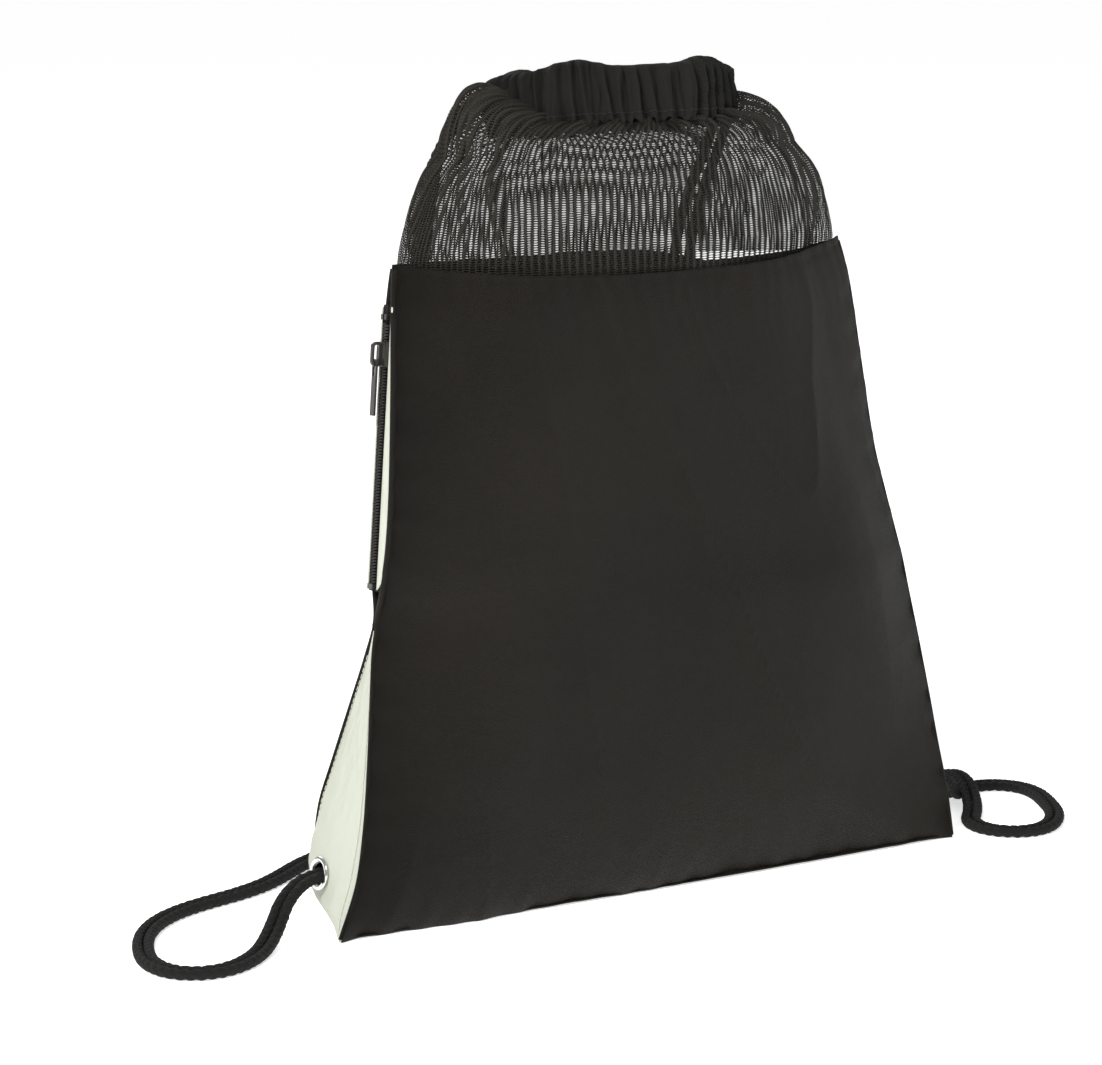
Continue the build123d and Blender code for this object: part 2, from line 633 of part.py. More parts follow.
with BuildPart() as grommet_washer_right:
    add(washer("right"))
grommet_washer_right.part.label = "grommet_washer_right"

# ---------------------------------------------------------------- cords


def strand(route, sign):
    """One strand of a doubled cord: the route moved sideways by half the spacing."""
    points = [Vector(*row[0]) for row in route]
    moved = []
    for index, (_, normal, half) in enumerate(route):
        before = points[index] - points[max(index - 1, 0)]
        after = points[min(index + 1, len(points) - 1)] - points[index]
        before = before.normalized() if index > 0 else after.normalized()
        after = after.normalized() if index < len(points) - 1 else before
        side = (before + after).cross(Vector(*normal)).normalized()
        # at a corner the strand moves out further, so that both runs keep their spacing
        mitre = ((before + after).length / 2) if index else 1.0
        moved.append(points[index] + side * (sign * half / mitre))
    return moved


def ring(side):
    """The cord's way round inside the casing, from the back of its exit to the front."""
    plane = mouth_plane(RING_HEIGHTS[side])
    half_x = CHANNEL_HALF_X - CHANNEL_DEPTH / 2
    half_y = CHANNEL_HALF_Y - CHANNEL_DEPTH / 2
    count = round((360 - 2 * RING_OPEN) / RING_STEP)
    turn = 180 if side == "left" else 0
    points = []
    for index in range(count + 1):
        angle = radians(turn + RING_OPEN + index * (360 - 2 * RING_OPEN) / count)
        points.append(plane.from_local_coords((half_x * cos(angle), half_y * sin(angle), 0)))
    return points


def entry(before, start, end, after, reach):
    """Points of a smooth bend from one run of the cord to the next."""
    leave = start + (start - before).normalized() * reach[0]
    arrive = end + (end - after).normalized() * reach[1]
    points = []
    for share in (0.25, 0.5, 0.75):
        rest = 1 - share
        points.append(
            start * rest**3
            + leave * (3 * rest**2 * share)
            + arrive * (3 * rest * share**2)
            + end * share**3
        )
    return points


def cord_points(side):
    """The whole cord, from one end inside the grommet to the other."""
    loop = ring(side)
    ways = [strand(ROUTES[side], sign) for sign in (1, -1)]
    first, last = sorted(ways, key=lambda way: way[-1].X)
    reach = ENTRY_REACH[side]
    into = entry(first[-2], first[-1], loop[0], loop[1], reach)
    out = entry(last[-2], last[-1], loop[-1], loop[-2], reach)
    return first + into + loop + out[::-1] + last[::-1]


def cord(side):
    """A round cord along its route, with every corner rounded off."""
    points = cord_points(side)
    radii = []
    for before, corner, after in zip(points, points[1:], points[2:]):
        turn = radians((corner - before).get_angle(after - corner))
        run = min((corner - before).length, (after - corner).length)
        radii.append(min(0.45 * run / tan(turn / 2), 400.0))
    tightest = min(radii)
    at = points[radii.index(tightest) + 1]
    with BuildPart() as tube:
        with BuildLine() as path:
            FilletPolyline(*points, radius=radii)
        way = path.wires()[0]
        with BuildSketch(way ^ 0):
            Circle(CORD / 2)
        sweep(path=way)
    length = way.length
    expected = pi * (CORD / 2) ** 2 * length
    print(side, "cord length", round(length), "tightest bend", round(tightest, 1), "at", at)
    print("volume against section x length", round(tube.part.volume / expected, 4))
    return tube.part


with BuildPart() as drawcord_left:
    add(cord("left"))
drawcord_left.part.label = "drawcord_left"

with BuildPart() as drawcord_right:
    add(cord("right"))
drawcord_right.part.label = "drawcord_right"


def knot(side):
    """A stopper knot on both ends of a cord, flat where the cord runs into it."""
    end = Vector(*ROUTES[side][0][0])
    outward = (Vector(*ROUTES[side][1][0]) - end).normalized()
    with BuildPart() as lump:
        with Locations(end - outward * 6.5):
            Sphere(KNOT_RADIUS)
        split(bisect_by=Plane(end - outward * 0.1, z_dir=outward), keep=Keep.BOTTOM)
    return lump.part


with BuildPart() as cord_knot_left:
    add(knot("left"))
cord_knot_left.part.label = "cord_knot_left"

with BuildPart() as cord_knot_right:
    add(knot("right"))
cord_knot_right.part.label = "cord_knot_right"

# ---------------------------------------------------------------- export

PIECES = [
    front_panel,
    back_panel,
    front_lining,
    bottom_panel,
    gusset_left,
    gusset_right,
    mesh_front,
    mesh_back,
    channel_front,
    channel_back,
    zip_tape_front,
    zip_tape_back,
    zip_coil_front,
    zip_coil_back,
    zip_bottom_stop,
    zip_stop_front,
    zip_stop_back,
    placket_front,
    placket_back,
    zip_slider,
    zip_pull,
    seam_right,
    grommet_left,
    grommet_right,
    grommet_washer_left,
    grommet_washer_right,
    drawcord_left,
    drawcord_right,
    cord_knot_left,
    cord_knot_right,
]
for piece in PIECES:
    print(piece.part.label, "solids", len(piece.part.solids()), "volume", round(piece.part.volume))
    export_step(piece.part, f"parts/{piece.part.label}.step")
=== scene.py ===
"""Looks of the drawstring backpack: woven cloth, net, gathered casing, zipper and cords.

The tables are in millimetres, as the CAD model has them, except the cord routes, which are in metres.
Cloth is shaped by smooth noise and written folds, not by a simulation.
"""

import math

import bpy
import numpy as np
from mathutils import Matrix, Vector, noise


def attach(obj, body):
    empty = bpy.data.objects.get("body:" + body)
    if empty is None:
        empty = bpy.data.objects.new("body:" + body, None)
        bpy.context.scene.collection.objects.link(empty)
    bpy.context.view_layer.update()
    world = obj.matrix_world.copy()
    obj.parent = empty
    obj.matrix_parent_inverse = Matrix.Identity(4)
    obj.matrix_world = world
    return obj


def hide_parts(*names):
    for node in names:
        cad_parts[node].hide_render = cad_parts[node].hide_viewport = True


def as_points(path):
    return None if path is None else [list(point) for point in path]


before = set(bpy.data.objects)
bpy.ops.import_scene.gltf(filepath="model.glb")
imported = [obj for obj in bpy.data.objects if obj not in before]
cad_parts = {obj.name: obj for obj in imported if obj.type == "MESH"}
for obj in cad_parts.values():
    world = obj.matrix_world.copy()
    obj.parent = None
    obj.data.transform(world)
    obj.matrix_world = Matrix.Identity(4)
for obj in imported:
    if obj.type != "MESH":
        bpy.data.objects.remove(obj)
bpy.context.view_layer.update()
MM = 0.001
BAG = "bag"

# ---------------------------------------------------------------- camera, floor and light

scene = bpy.context.scene
camera_data = bpy.data.cameras.new("camera")
camera_data.sensor_width = 36
camera_data.lens = 118.26
camera_data.clip_start = 0.05
camera_data.clip_end = 100
camera = bpy.data.objects.new("camera", camera_data)
scene.collection.objects.link(camera)
camera.location = (-0.92039, -1.48465, 0.50838)
camera.rotation_euler = Vector((0.50069, 0.84466, -0.18938)).to_track_quat("-Z", "Y").to_euler()
scene.camera = camera
scene.view_settings.view_transform = "Standard"


def area_light(name, place, target, size, watts):
    data = bpy.data.lights.new(name, "AREA")
    data.size = size
    data.energy = watts
    lamp = bpy.data.objects.new(name, data)
    scene.collection.objects.link(lamp)
    lamp.location = place
    aim = Vector(target) - Vector(place)
    lamp.rotation_euler = aim.to_track_quat("-Z", "Y").to_euler()


area_light("key", (-1.5, -1.0, 1.8), (0, 0, 0.15), 0.7, 62)
area_light("fill", (1.9, -1.3, 1.2), (0, 0, 0.2), 1.2, 6)
area_light("back", (0.3, 2.2, 1.6), (0, 0, 0.2), 1.5, 22)

world = bpy.data.worlds.new("studio")
world.use_nodes = True
world.node_tree.nodes["Background"].inputs["Color"].default_value = (1, 1, 1, 1)
background = world.node_tree.nodes["Background"]
rays = world.node_tree.nodes.new("ShaderNodeLightPath")
level = world.node_tree.nodes.new("ShaderNodeMapRange")
level.inputs["To Min"].default_value = 0.36
level.inputs["To Max"].default_value = 1.05
world.node_tree.links.new(rays.outputs["Is Camera Ray"], level.inputs["Value"])
world.node_tree.links.new(level.outputs[0], background.inputs["Strength"])
scene.world = world

# ---------------------------------------------------------------- materials


def new_material(name, color, roughness, metallic=0.0, sheen=0.0):
    """A plain material, and its nodes, links and shader for what is added to it."""
    material = bpy.data.materials.new(name)
    material.use_nodes = True
    nodes = material.node_tree.nodes
    shader = nodes["Principled BSDF"]
    shader.inputs["Base Color"].default_value = (*color, 1)
    shader.inputs["Roughness"].default_value = roughness
    shader.inputs["Metallic"].default_value = metallic
    shader.inputs["Sheen Weight"].default_value = sheen
    shader.inputs["Sheen Roughness"].default_value = 0.6
    if not metallic:
        shader.inputs["Specular IOR Level"].default_value = 0.18
    return material, nodes, material.node_tree.links, shader


def math_node(nodes, links, operation, first, second=None):
    node = nodes.new("ShaderNodeMath")
    node.operation = operation
    for index, value in enumerate((first, second)):
        if value is None:
            continue
        if isinstance(value, (int, float)):
            node.inputs[index].default_value = value
        else:
            links.new(value, node.inputs[index])
    return node.outputs[0]


def threads(nodes, links, u, v, pitch):
    """Height of a plain weave: 0 between the threads and 1 on top of them."""
    across = math_node(nodes, links, "SINE", math_node(nodes, links, "MULTIPLY", u, math.tau / pitch))
    along = math_node(nodes, links, "SINE", math_node(nodes, links, "MULTIPLY", v, math.tau / pitch))
    return math_node(nodes, links, "MULTIPLY", across, along)


def uv_sockets(nodes, links):
    uv = nodes.new("ShaderNodeUVMap")
    uv.uv_map = "UVMap"
    split = nodes.new("ShaderNodeSeparateXYZ")
    links.new(uv.outputs[0], split.inputs[0])
    return split.outputs[0], split.outputs[1]


def cloth(name, color, roughness, pitch, weave, sheen, mottle):
    """Woven cloth: a thread pattern along its UVs, in metres, with painted shade between the threads and
    painted highlight on their tops, and a faint mottle.
    """
    material, nodes, links, shader = new_material(name, color, roughness, sheen=sheen)
    u, v = uv_sockets(nodes, links)
    height = threads(nodes, links, u, v, pitch)
    bump = nodes.new("ShaderNodeBump")
    bump.inputs["Strength"].default_value = weave
    bump.inputs["Distance"].default_value = 0.0003
    links.new(height, bump.inputs["Height"])
    links.new(bump.outputs[0], shader.inputs["Normal"])
    place = nodes.new("ShaderNodeTexCoord")
    cloud = nodes.new("ShaderNodeTexNoise")
    cloud.inputs["Scale"].default_value = 9
    cloud.inputs["Detail"].default_value = 4
    links.new(place.outputs["Object"], cloud.inputs["Vector"])
    ramp = nodes.new("ShaderNodeMapRange")
    ramp.inputs["From Min"].default_value = 0.3
    ramp.inputs["From Max"].default_value = 0.7
    ramp.inputs["To Min"].default_value = 1 - mottle
    ramp.inputs["To Max"].default_value = 1 + mottle
    links.new(cloud.outputs[0], ramp.inputs["Value"])
    # painted shade and highlight: the weave height darkens the base colour between the threads and
    # lightens it on their tops, added to the mottle
    painted_weave_shade_and_mottle = math_node(nodes, links, "MULTIPLY_ADD", height, 0.10)
    links.new(ramp.outputs[0], painted_weave_shade_and_mottle.node.inputs[2])
    mix = nodes.new("ShaderNodeVectorMath")
    mix.operation = "SCALE"
    mix.inputs[0].default_value = color
    links.new(painted_weave_shade_and_mottle, mix.inputs["Scale"])
    links.new(mix.outputs[0], shader.inputs["Base Color"])
    return material


NET_HAZE = 0.26  # how much of each hole the fine filaments fill


def net_material(name, color, column, hole_step, hole_wide, hole_tall):
    """Knitted net: holes in columns along v, cut out of the cloth."""
    material, nodes, links, shader = new_material(name, color, 0.8)
    u, v = uv_sockets(nodes, links)
    cell = math_node(nodes, links, "DIVIDE", u, column)
    odd = math_node(nodes, links, "FLOOR", cell)
    across = math_node(nodes, links, "SUBTRACT", math_node(nodes, links, "FRACT", cell), 0.5)
    half = math_node(nodes, links, "FRACT", math_node(nodes, links, "MULTIPLY", odd, 0.5))
    shift = math_node(nodes, links, "MULTIPLY", half, 0.5)
    row = math_node(nodes, links, "ADD", math_node(nodes, links, "DIVIDE", v, hole_step), shift)
    along = math_node(nodes, links, "SUBTRACT", math_node(nodes, links, "FRACT", row), 0.5)
    x = math_node(nodes, links, "DIVIDE", across, hole_wide)
    y = math_node(nodes, links, "DIVIDE", along, hole_tall)
    x2 = math_node(nodes, links, "MULTIPLY", x, x)
    y2 = math_node(nodes, links, "MULTIPLY", y, y)
    distance = math_node(nodes, links, "ADD", x2, y2)
    dense = nodes.new("ShaderNodeAttribute")
    dense.attribute_name = "dense"
    limit = math_node(nodes, links, "SUBTRACT", 1.0, dense.outputs["Fac"])
    yarn = math_node(nodes, links, "GREATER_THAN", distance, limit)
    solid = math_node(nodes, links, "MAXIMUM", yarn, NET_HAZE)
    links.new(solid, shader.inputs["Alpha"])
    bump = nodes.new("ShaderNodeBump")
    bump.inputs["Strength"].default_value = 0.8
    bump.inputs["Distance"].default_value = 0.0005
    links.new(math_node(nodes, links, "MINIMUM", distance, 2.5), bump.inputs["Height"])
    links.new(bump.outputs[0], shader.inputs["Normal"])
    return material


black = cloth("black_cloth", (0.0095, 0.0078, 0.0052), 0.55, 0.0012, 1.0, 0.0, 0.28)
lining = cloth("lining_cloth", (0.016, 0.0145, 0.013), 0.8, 0.0008, 0.4, 0.0, 0.05)
ivory = cloth("ivory_cloth", (0.52, 0.54, 0.46), 0.7, 0.0009, 0.45, 0.0, 0.03)
casing_cloth = cloth("casing_cloth", (0.010, 0.0095, 0.0088), 0.85, 0.0013, 0.8, 0.0, 0.2)
tape_cloth = cloth("zip_tape", (0.012, 0.011, 0.010), 0.8, 0.0007, 0.6, 0.0, 0.04)
net = net_material("black_net", (0.024, 0.0225, 0.0175), 0.0028, 0.0014, 0.35, 0.36)
cord_cloth, cord_nodes, cord_links, cord_shader = new_material("cord", (0.011, 0.0105, 0.010), 0.7)
cord_u, cord_v = uv_sockets(cord_nodes, cord_links)
cord_bump = cord_nodes.new("ShaderNodeBump")
cord_bump.inputs["Strength"].default_value = 0.8
cord_bump.inputs["Distance"].default_value = 0.0003
cord_links.new(threads(cord_nodes, cord_links, cord_u, cord_v, 0.0012), cord_bump.inputs["Height"])
cord_links.new(cord_bump.outputs[0], cord_shader.inputs["Normal"])
thread, _, _, _ = new_material("thread", (0.028, 0.026, 0.023), 0.6)
ivory_thread, _, _, _ = new_material("ivory_thread", (0.55, 0.56, 0.47), 0.6)
nickel, _, _, _ = new_material("nickel", (0.72, 0.72, 0.70), 0.16, metallic=1.0)
gunmetal, _, _, _ = new_material("zip_metal", (0.10, 0.097, 0.092), 0.34, metallic=0.9)
teeth_plastic, _, _, _ = new_material("zip_coil", (0.03, 0.028, 0.026), 0.45)

FLOOR_HALF = 30.0
floor_data = bpy.data.meshes.new("floor")
corners = [(x * FLOOR_HALF, y * FLOOR_HALF, -0.0002) for x, y in ((-1, -1), (1, -1), (1, 1), (-1, 1))]
floor_data.from_pydata(corners, [], [(0, 1, 2, 3)])
floor = bpy.data.objects.new("floor", floor_data)
scene.collection.objects.link(floor)
floor_paint, _, _, _ = new_material("floor_paint", (1.0, 1.0, 1.0), 1.0)
floor_paint.node_tree.nodes["Principled BSDF"].inputs["Emission Color"].default_value = (1, 1, 1, 1)
floor_paint.node_tree.nodes["Principled BSDF"].inputs["Emission Strength"].default_value = 0.62
floor_data.materials.append(floor_paint)

# ---------------------------------------------------------------- shared tables

SECTIONS = [
    (0.0, (-177.5, -38.0), (-145.0, 33.0), (177.5, -38.0), (145.0, 33.0), 41.0, 38.0, 2.2),
    (25.0, (-165.5, -33.7), (-156.0, 26.0), (176.0, -33.7), (158.0, 26.0), 47.0, 46.0, 2.6),
    (50.0, (-159.0, -29.5), (-158.0, 19.0), (172.5, -29.5), (163.0, 19.0), 51.0, 50.5, 2.8),
    (75.0, (-154.5, -25.2), (-153.5, 12.0), (169.5, -25.2), (163.5, 12.0), 53.0, 53.0, 3.0),
    (105.0, (-150.0, -20.1), (-150.6, -1.5), (165.5, -20.1), (163.0, -1.5), 54.0, 54.0, 3.0),
    (130.0, (-146.3, -15.8), (-146.9, -10.5), (161.8, -15.8), (161.2, -10.5), 54.0, 54.0, 3.0),
    (146.0, (-143.3, -14.8), (-143.3, -12.4), (158.8, -14.2), (158.8, -11.8), 54.0, 54.0, 3.0),
    (161.0, (-143.4, -20.6), (-141.0, -7.4), (155.0, -12.9), (155.0, -10.5), 53.6, 53.6, 3.0),
    (180.0, (-141.4, -22.6), (-137.1, -0.8), (149.8, -11.5), (149.8, -9.1), 53.0, 53.0, 3.0),
    (205.0, (-139.4, -22.6), (-133.8, 1.6), (143.4, -9.7), (143.4, -7.3), 52.0, 52.0, 2.9),
    (249.0, (-135.6, -18.2), (-129.6, 3.6), (137.0, -6.0), (137.0, -3.6), 49.0, 49.0, 2.6),
    (285.0, (-131.0, -10.6), (-127.6, 3.0), (132.0, -3.0), (132.0, -0.6), 44.0, 44.0, 2.4),
    (300.0, (-127.0, -3.6), (-126.6, 1.6), (128.6, -1.8), (128.6, 0.6), 41.0, 41.0, 2.3),
    (311.0, (-125.0, -1.2), (-125.0, 1.2), (125.0, -1.2), (125.0, 1.2), 38.5, 38.5, 2.2),
]
GUSSET_MIDDLES = [
    (0.0, (-162.0, -2.0), (162.0, -2.0)),
    (25.0, (-172.6, -3.0), (177.2, -5.0)),
    (50.0, (-165.5, -3.5), (174.6, -5.0)),
    (75.0, (-157.4, -5.0), (170.6, -6.5)),
    (105.0, (-152.0, -10.8), (165.6, -10.8)),
    (126.0, (-148.1, -12.8), (162.7, -12.8)),
]
LINING_BELLIES = [
    (3.0, 34.0),
    (40.0, 24.0),
    (75.0, 21.0),
    (105.0, 20.0),
    (130.0, 20.0),
    (148.0, 20.0),
    (175.0, 20.0),
    (205.0, 20.0),
    (265.0, 26.0),
    (309.0, 33.5),
]
LINING_INSET = 5.5
LINING_RIGHT_INSET = 9.0
MOUTH_CENTRE = (-0.005, 0.0, 0.370)
MOUTH_LEAN = math.radians(9.8)
CASING_X = 0.062
CASING_Y = 0.0345
CASING_DEEP = 0.009
CASING_TALL = 0.030
NET_SECTIONS = [
    (311.5, -124.4, 124.4, 38.0),
    (330.0, -119.5, 119.5, 37.4),
    (348.0, -111.0, 110.0, 36.6),
    (360.0, -100.0, 98.0, 35.6),
]
ZIP_FOOT = Vector((-0.1445, -0.0135, 0.161))
ZIP_HEAD = Vector((-0.130, -0.0035, 0.292))
GROMMETS = {
    "left": (Vector((-0.1727, -0.0095, 0.026)), Vector((-1.0, -0.03, 0.17))),
    "right": (Vector((0.1778, -0.0095, 0.026)), Vector((1.0, 0.13, 0.0))),
}


def row_at(rows, z):
    """A table's row at a height in millimetres, smooth between its rows."""
    heights = [row[0] for row in rows]
    flat = [np.hstack([np.ravel(value) for value in row[1:]]) for row in rows]
    z = min(max(z, heights[0]), heights[-1])
    index = max(i for i in range(len(rows) - 1) if heights[i] <= z)
    low, high = flat[index], flat[index + 1]
    span = heights[index + 1] - heights[index]
    t = (z - heights[index]) / span

    def slope(i):
        a, b = max(i - 1, 0), min(i + 1, len(rows) - 1)
        return (flat[b] - flat[a]) / (heights[b] - heights[a]) * span

    t2, t3 = t * t, t * t * t
    return (
        low * (2 * t3 - 3 * t2 + 1)
        + high * (3 * t2 - 2 * t3)
        + slope(index) * (t3 - 2 * t2 + t)
        + slope(index + 1) * (t3 - t2)
    )


def rough(x, y, scale, seed):
    """Smooth random height at a point of a piece, about -1 to 1."""
    return noise.fractal(Vector((x * scale, y * scale, seed)), 0.9, 2.1, 4)


# ---------------------------------------------------------------- mesh makers


def finish_mesh(name, vertices, faces, material, uvs=None, body=BAG):
    data = bpy.data.meshes.new(name)
    data.from_pydata([tuple(v) for v in vertices], [], faces)
    if uvs is not None:
        layer = data.uv_layers.new(name="UVMap")
        loops = np.empty(len(data.loops), dtype=np.int32)
        data.loops.foreach_get("vertex_index", loops)
        layer.data.foreach_set("uv", np.asarray(uvs, dtype=np.float32)[loops].ravel())
    data.materials.append(material)
    data.polygons.foreach_set("use_smooth", [True] * len(data.polygons))
    data.update()
    piece = bpy.data.objects.new(name, data)
    scene.collection.objects.link(piece)
    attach(piece, body)
    return piece


def grid(name, place, columns, rows, material, size, thick=0.0008, loop=False, offset=-1.0):
    """A sheet: place(s, t) gives a point in metres for s and t from 0 to 1."""
    vertices, uvs = [], []
    for j in range(rows + 1):
        for i in range(columns + (0 if loop else 1)):
            s, t = i / columns, j / rows
            vertices.append(place(s, t))
            uvs.append((s * size[0], t * size[1]))
    wide = columns + (0 if loop else 1)
    faces = []
    for j in range(rows):
        for i in range(columns):
            a, b = j * wide + i, j * wide + (i + 1) % wide
            faces.append((a, b, b + wide, a + wide))
    piece = finish_mesh(name, vertices, faces, material, uvs)
    if thick:
        apply_modifier(piece, "SOLIDIFY", thickness=thick, offset=offset)
    return piece


def apply_modifier(piece, kind, **values):
    modifier = piece.modifiers.new(kind.lower(), kind)
    for key, value in values.items():
        setattr(modifier, key, value)
    bpy.context.view_layer.objects.active = piece
    bpy.context.view_layer.update()
    with bpy.context.temp_override(object=piece, active_object=piece, selected_objects=[piece]):
        bpy.ops.object.modifier_apply(modifier=modifier.name)


def tube_mesh(path, radius, around, ridges=None, caps=True):
    """Vertices and faces of a tube along a path. radius may depend on length and angle."""
    path = [Vector(p) for p in path]
    vertices, faces, uvs = [], [], []
    tangent = (path[1] - path[0]).normalized()
    side = tangent.orthogonal().normalized()
    run = 0.0
    for index, point in enumerate(path):
        new = (path[min(index + 1, len(path) - 1)] - path[max(index - 1, 0)]).normalized()
        side = (side - new * side.dot(new)).normalized()
        up = new.cross(side)
        if index:
            run += (point - path[index - 1]).length
        for k in range(around):
            angle = math.tau * k / around
            r = radius if ridges is None else radius + ridges(run, angle)
            vertices.append(point + side * (math.cos(angle) * r) + up * (math.sin(angle) * r))
            uvs.append((angle * radius, run))
    for index in range(len(path) - 1):
        for k in range(around):
            a, b = index * around + k, index * around + (k + 1) % around
            faces.append((a, b, b + around, a + around))
    if caps:
        faces.append(tuple(range(around))[::-1])
        faces.append(tuple(range((len(path) - 1) * around, len(path) * around)))
    return vertices, faces, uvs


def tubes(name, paths, radius, around, material, body=BAG):
    """Several tubes in one mesh, such as a row of stitches."""
    vertices, faces, uvs = [], [], []
    for path in paths:
        v, f, u = tube_mesh(path, radius, around)
        faces += [tuple(i + len(vertices) for i in face) for face in f]
        vertices += v
        uvs += u
    return finish_mesh(name, vertices, faces, material, uvs, body)


def stitches(name, line, length, gap, radius, material, body=BAG):
    """Short thread runs along a dense line of points."""
    line = [Vector(p) for p in line]
    runs = np.cumsum([0] + [(b - a).length for a, b in zip(line, line[1:])])
    array = np.array([tuple(p) for p in line])

    def at(x):
        return Vector([np.interp(x, runs, array[:, k]) for k in range(3)])

    paths = []
    x = gap
    while x + length < runs[-1]:
        paths.append([at(x + length * share) for share in (0, 0.5, 1)])
        x += length + gap
    return tubes(name, paths, radius, 6, material, body)


# ---------------------------------------------------------------- cords

CORD = 0.0048
HALF = 0.00255
RING_HEIGHTS = {"left": 0.0210, "right": 0.0120}
RING_STEP = 15.5
RING_OPEN = 34.0
ENTRY_REACH = {"left": (0.028, 0.016), "right": (0.036, 0.010)}
FLOOR = (0.0, 0.0, 1.0)
BACK = (0.0, 1.0, 0.0)
ROUTES = {
    "left": [
        ((-0.1570, -0.0092, 0.0258), FLOOR, HALF),
        ((-0.1775, -0.0095, 0.0263), FLOOR, HALF),
        ((-0.1935, -0.0142, 0.0187), FLOOR, HALF),
        ((-0.2039, -0.0233, 0.0075), FLOOR, HALF),
        ((-0.2164, -0.0365, 0.0025), FLOOR, HALF),
        ((-0.2305, -0.0491, 0.0026), FLOOR, HALF),
        ((-0.2429, -0.0545, 0.0025), FLOOR, HALF),
        ((-0.2548, -0.0544, 0.0025), FLOOR, HALF),
        ((-0.2648, -0.0478, 0.0025), FLOOR, HALF),
        ((-0.2694, -0.0366, 0.0025), FLOOR, HALF),
        ((-0.2690, -0.0215, 0.0025), FLOOR, HALF),
        ((-0.2614, -0.0010, 0.0025), FLOOR, HALF),
        ((-0.2520, 0.0155, 0.0025), FLOOR, HALF),
        ((-0.2392, 0.0295, 0.0025), FLOOR, HALF),
        ((-0.2232, 0.0396, 0.0025), FLOOR, HALF),
        ((-0.2053, 0.0459, 0.0025), FLOOR, HALF),
        ((-0.1869, 0.0507, 0.0025), FLOOR, HALF),
        ((-0.1695, 0.0581, 0.0025), FLOOR, HALF),
        ((-0.1538, 0.0688, 0.0025), FLOOR, HALF),
        ((-0.1389, 0.0806, 0.0025), FLOOR, HALF),
        ((-0.1225, 0.0901, 0.0025), FLOOR, HALF),
        ((-0.1039, 0.0929, 0.0026), FLOOR, HALF),
        ((-0.0873, 0.0860, 0.0028), FLOOR, HALF),
        ((-0.0793, 0.0744, 0.0095), (0.0, 0.53, 0.85), HALF),
        ((-0.0791, 0.0641, 0.0248), (0.0, 0.71, 0.71), HALF),
        ((-0.0811, 0.0599, 0.0434), (0.0, 0.99, 0.17), HALF),
        ((-0.0833, 0.0586, 0.0705), BACK, HALF),
        ((-0.0869, 0.0581, 0.1109), BACK, HALF),
        ((-0.0893, 0.0556, 0.1527), BACK, HALF),
        ((-0.0914, 0.0515, 0.1945), BACK, HALF),
        ((-0.0924, 0.0464, 0.2361), BACK, HALF),
        ((-0.0922, 0.0403, 0.2776), BACK, HALF),
        ((-0.0935, 0.0327, 0.3164), BACK, HALF),
        ((-0.0928, 0.0258, 0.3411), (-0.13, 0.99, 0.04), 0.0027),
        ((-0.0915, 0.0215, 0.3560), (-0.59, 0.78, 0.2), 0.0030),
    ],
    "right": [
        ((0.1620, -0.0110, 0.0260), FLOOR, HALF),
        ((0.1825, -0.0089, 0.0262), FLOOR, HALF),
        ((0.1985, -0.0034, 0.0206), FLOOR, HALF),
        ((0.2088, 0.0073, 0.0107), FLOOR, HALF),
        ((0.2211, 0.0195, 0.0033), FLOOR, HALF),
        ((0.2339, 0.0286, 0.0025), FLOOR, HALF),
        ((0.2460, 0.0315, 0.0025), FLOOR, HALF),
        ((0.2575, 0.0275, 0.0025), FLOOR, HALF),
        ((0.2650, 0.0172, 0.0025), FLOOR, HALF),
        ((0.2652, 0.0035, 0.0025), FLOOR, HALF),
        ((0.2574, -0.0161, 0.0025), FLOOR, HALF),
        ((0.2489, -0.0330, 0.0025), FLOOR, HALF),
        ((0.2365, -0.0473, 0.0025), FLOOR, HALF),
        ((0.2239, -0.0549, 0.0025), FLOOR, HALF),
        ((0.2110, -0.0550, 0.0025), FLOOR, HALF),
        ((0.2007, -0.0475, 0.0025), FLOOR, HALF),
        ((0.1967, -0.0360, 0.0025), FLOOR, HALF),
        ((0.2001, -0.0232, 0.0025), FLOOR, HALF),
        ((0.2126, -0.0097, 0.0025), FLOOR, HALF),
        ((0.2235, 0.0056, 0.0043), FLOOR, HALF),
        ((0.2317, 0.0221, 0.0087), FLOOR, HALF),
        ((0.2378, 0.0399, 0.0086), FLOOR, HALF),
        ((0.2397, 0.0578, 0.0034), FLOOR, HALF),
        ((0.2313, 0.0737, 0.0025), FLOOR, HALF),
        ((0.2149, 0.0828, 0.0025), FLOOR, HALF),
        ((0.1961, 0.0845, 0.0025), FLOOR, HALF),
        ((0.1775, 0.0815, 0.0025), FLOOR, HALF),
        ((0.1591, 0.0767, 0.0025), FLOOR, HALF),
        ((0.1405, 0.0737, 0.0025), FLOOR, HALF),
        ((0.1215, 0.0740, 0.0025), FLOOR, HALF),
        ((0.1031, 0.0783, 0.0025), FLOOR, HALF),
        ((0.0860, 0.0859, 0.0025), FLOOR, HALF),
        ((0.0713, 0.0868, 0.0028), FLOOR, HALF),
        ((0.0592, 0.0789, 0.0088), (0.0, 0.34, 0.94), HALF),
        ((0.0577, 0.0660, 0.0213), (0.0, 0.71, 0.71), HALF),
        ((0.0578, 0.0622, 0.0394), (0.0, 0.91, 0.41), HALF),
        ((0.0594, 0.0611, 0.0637), BACK, HALF),
        ((0.0605, 0.0610, 0.1021), BACK, 0.0028),
        ((0.0601, 0.0601, 0.1439), BACK, 0.0038),
        ((0.0615, 0.0570, 0.1856), BACK, 0.0046),
        ((0.0615, 0.0541, 0.2274), BACK, 0.0048),
        ((0.0623, 0.0502, 0.2691), BACK, 0.0048),
        ((0.0650, 0.0470, 0.3080), BACK, 0.0044),
        ((0.0690, 0.0425, 0.3330), (0.12, 0.99, 0.12), 0.0038),
        ((0.0735, 0.0375, 0.3485), (0.28, 0.92, 0.28), 0.0032),
    ],
}


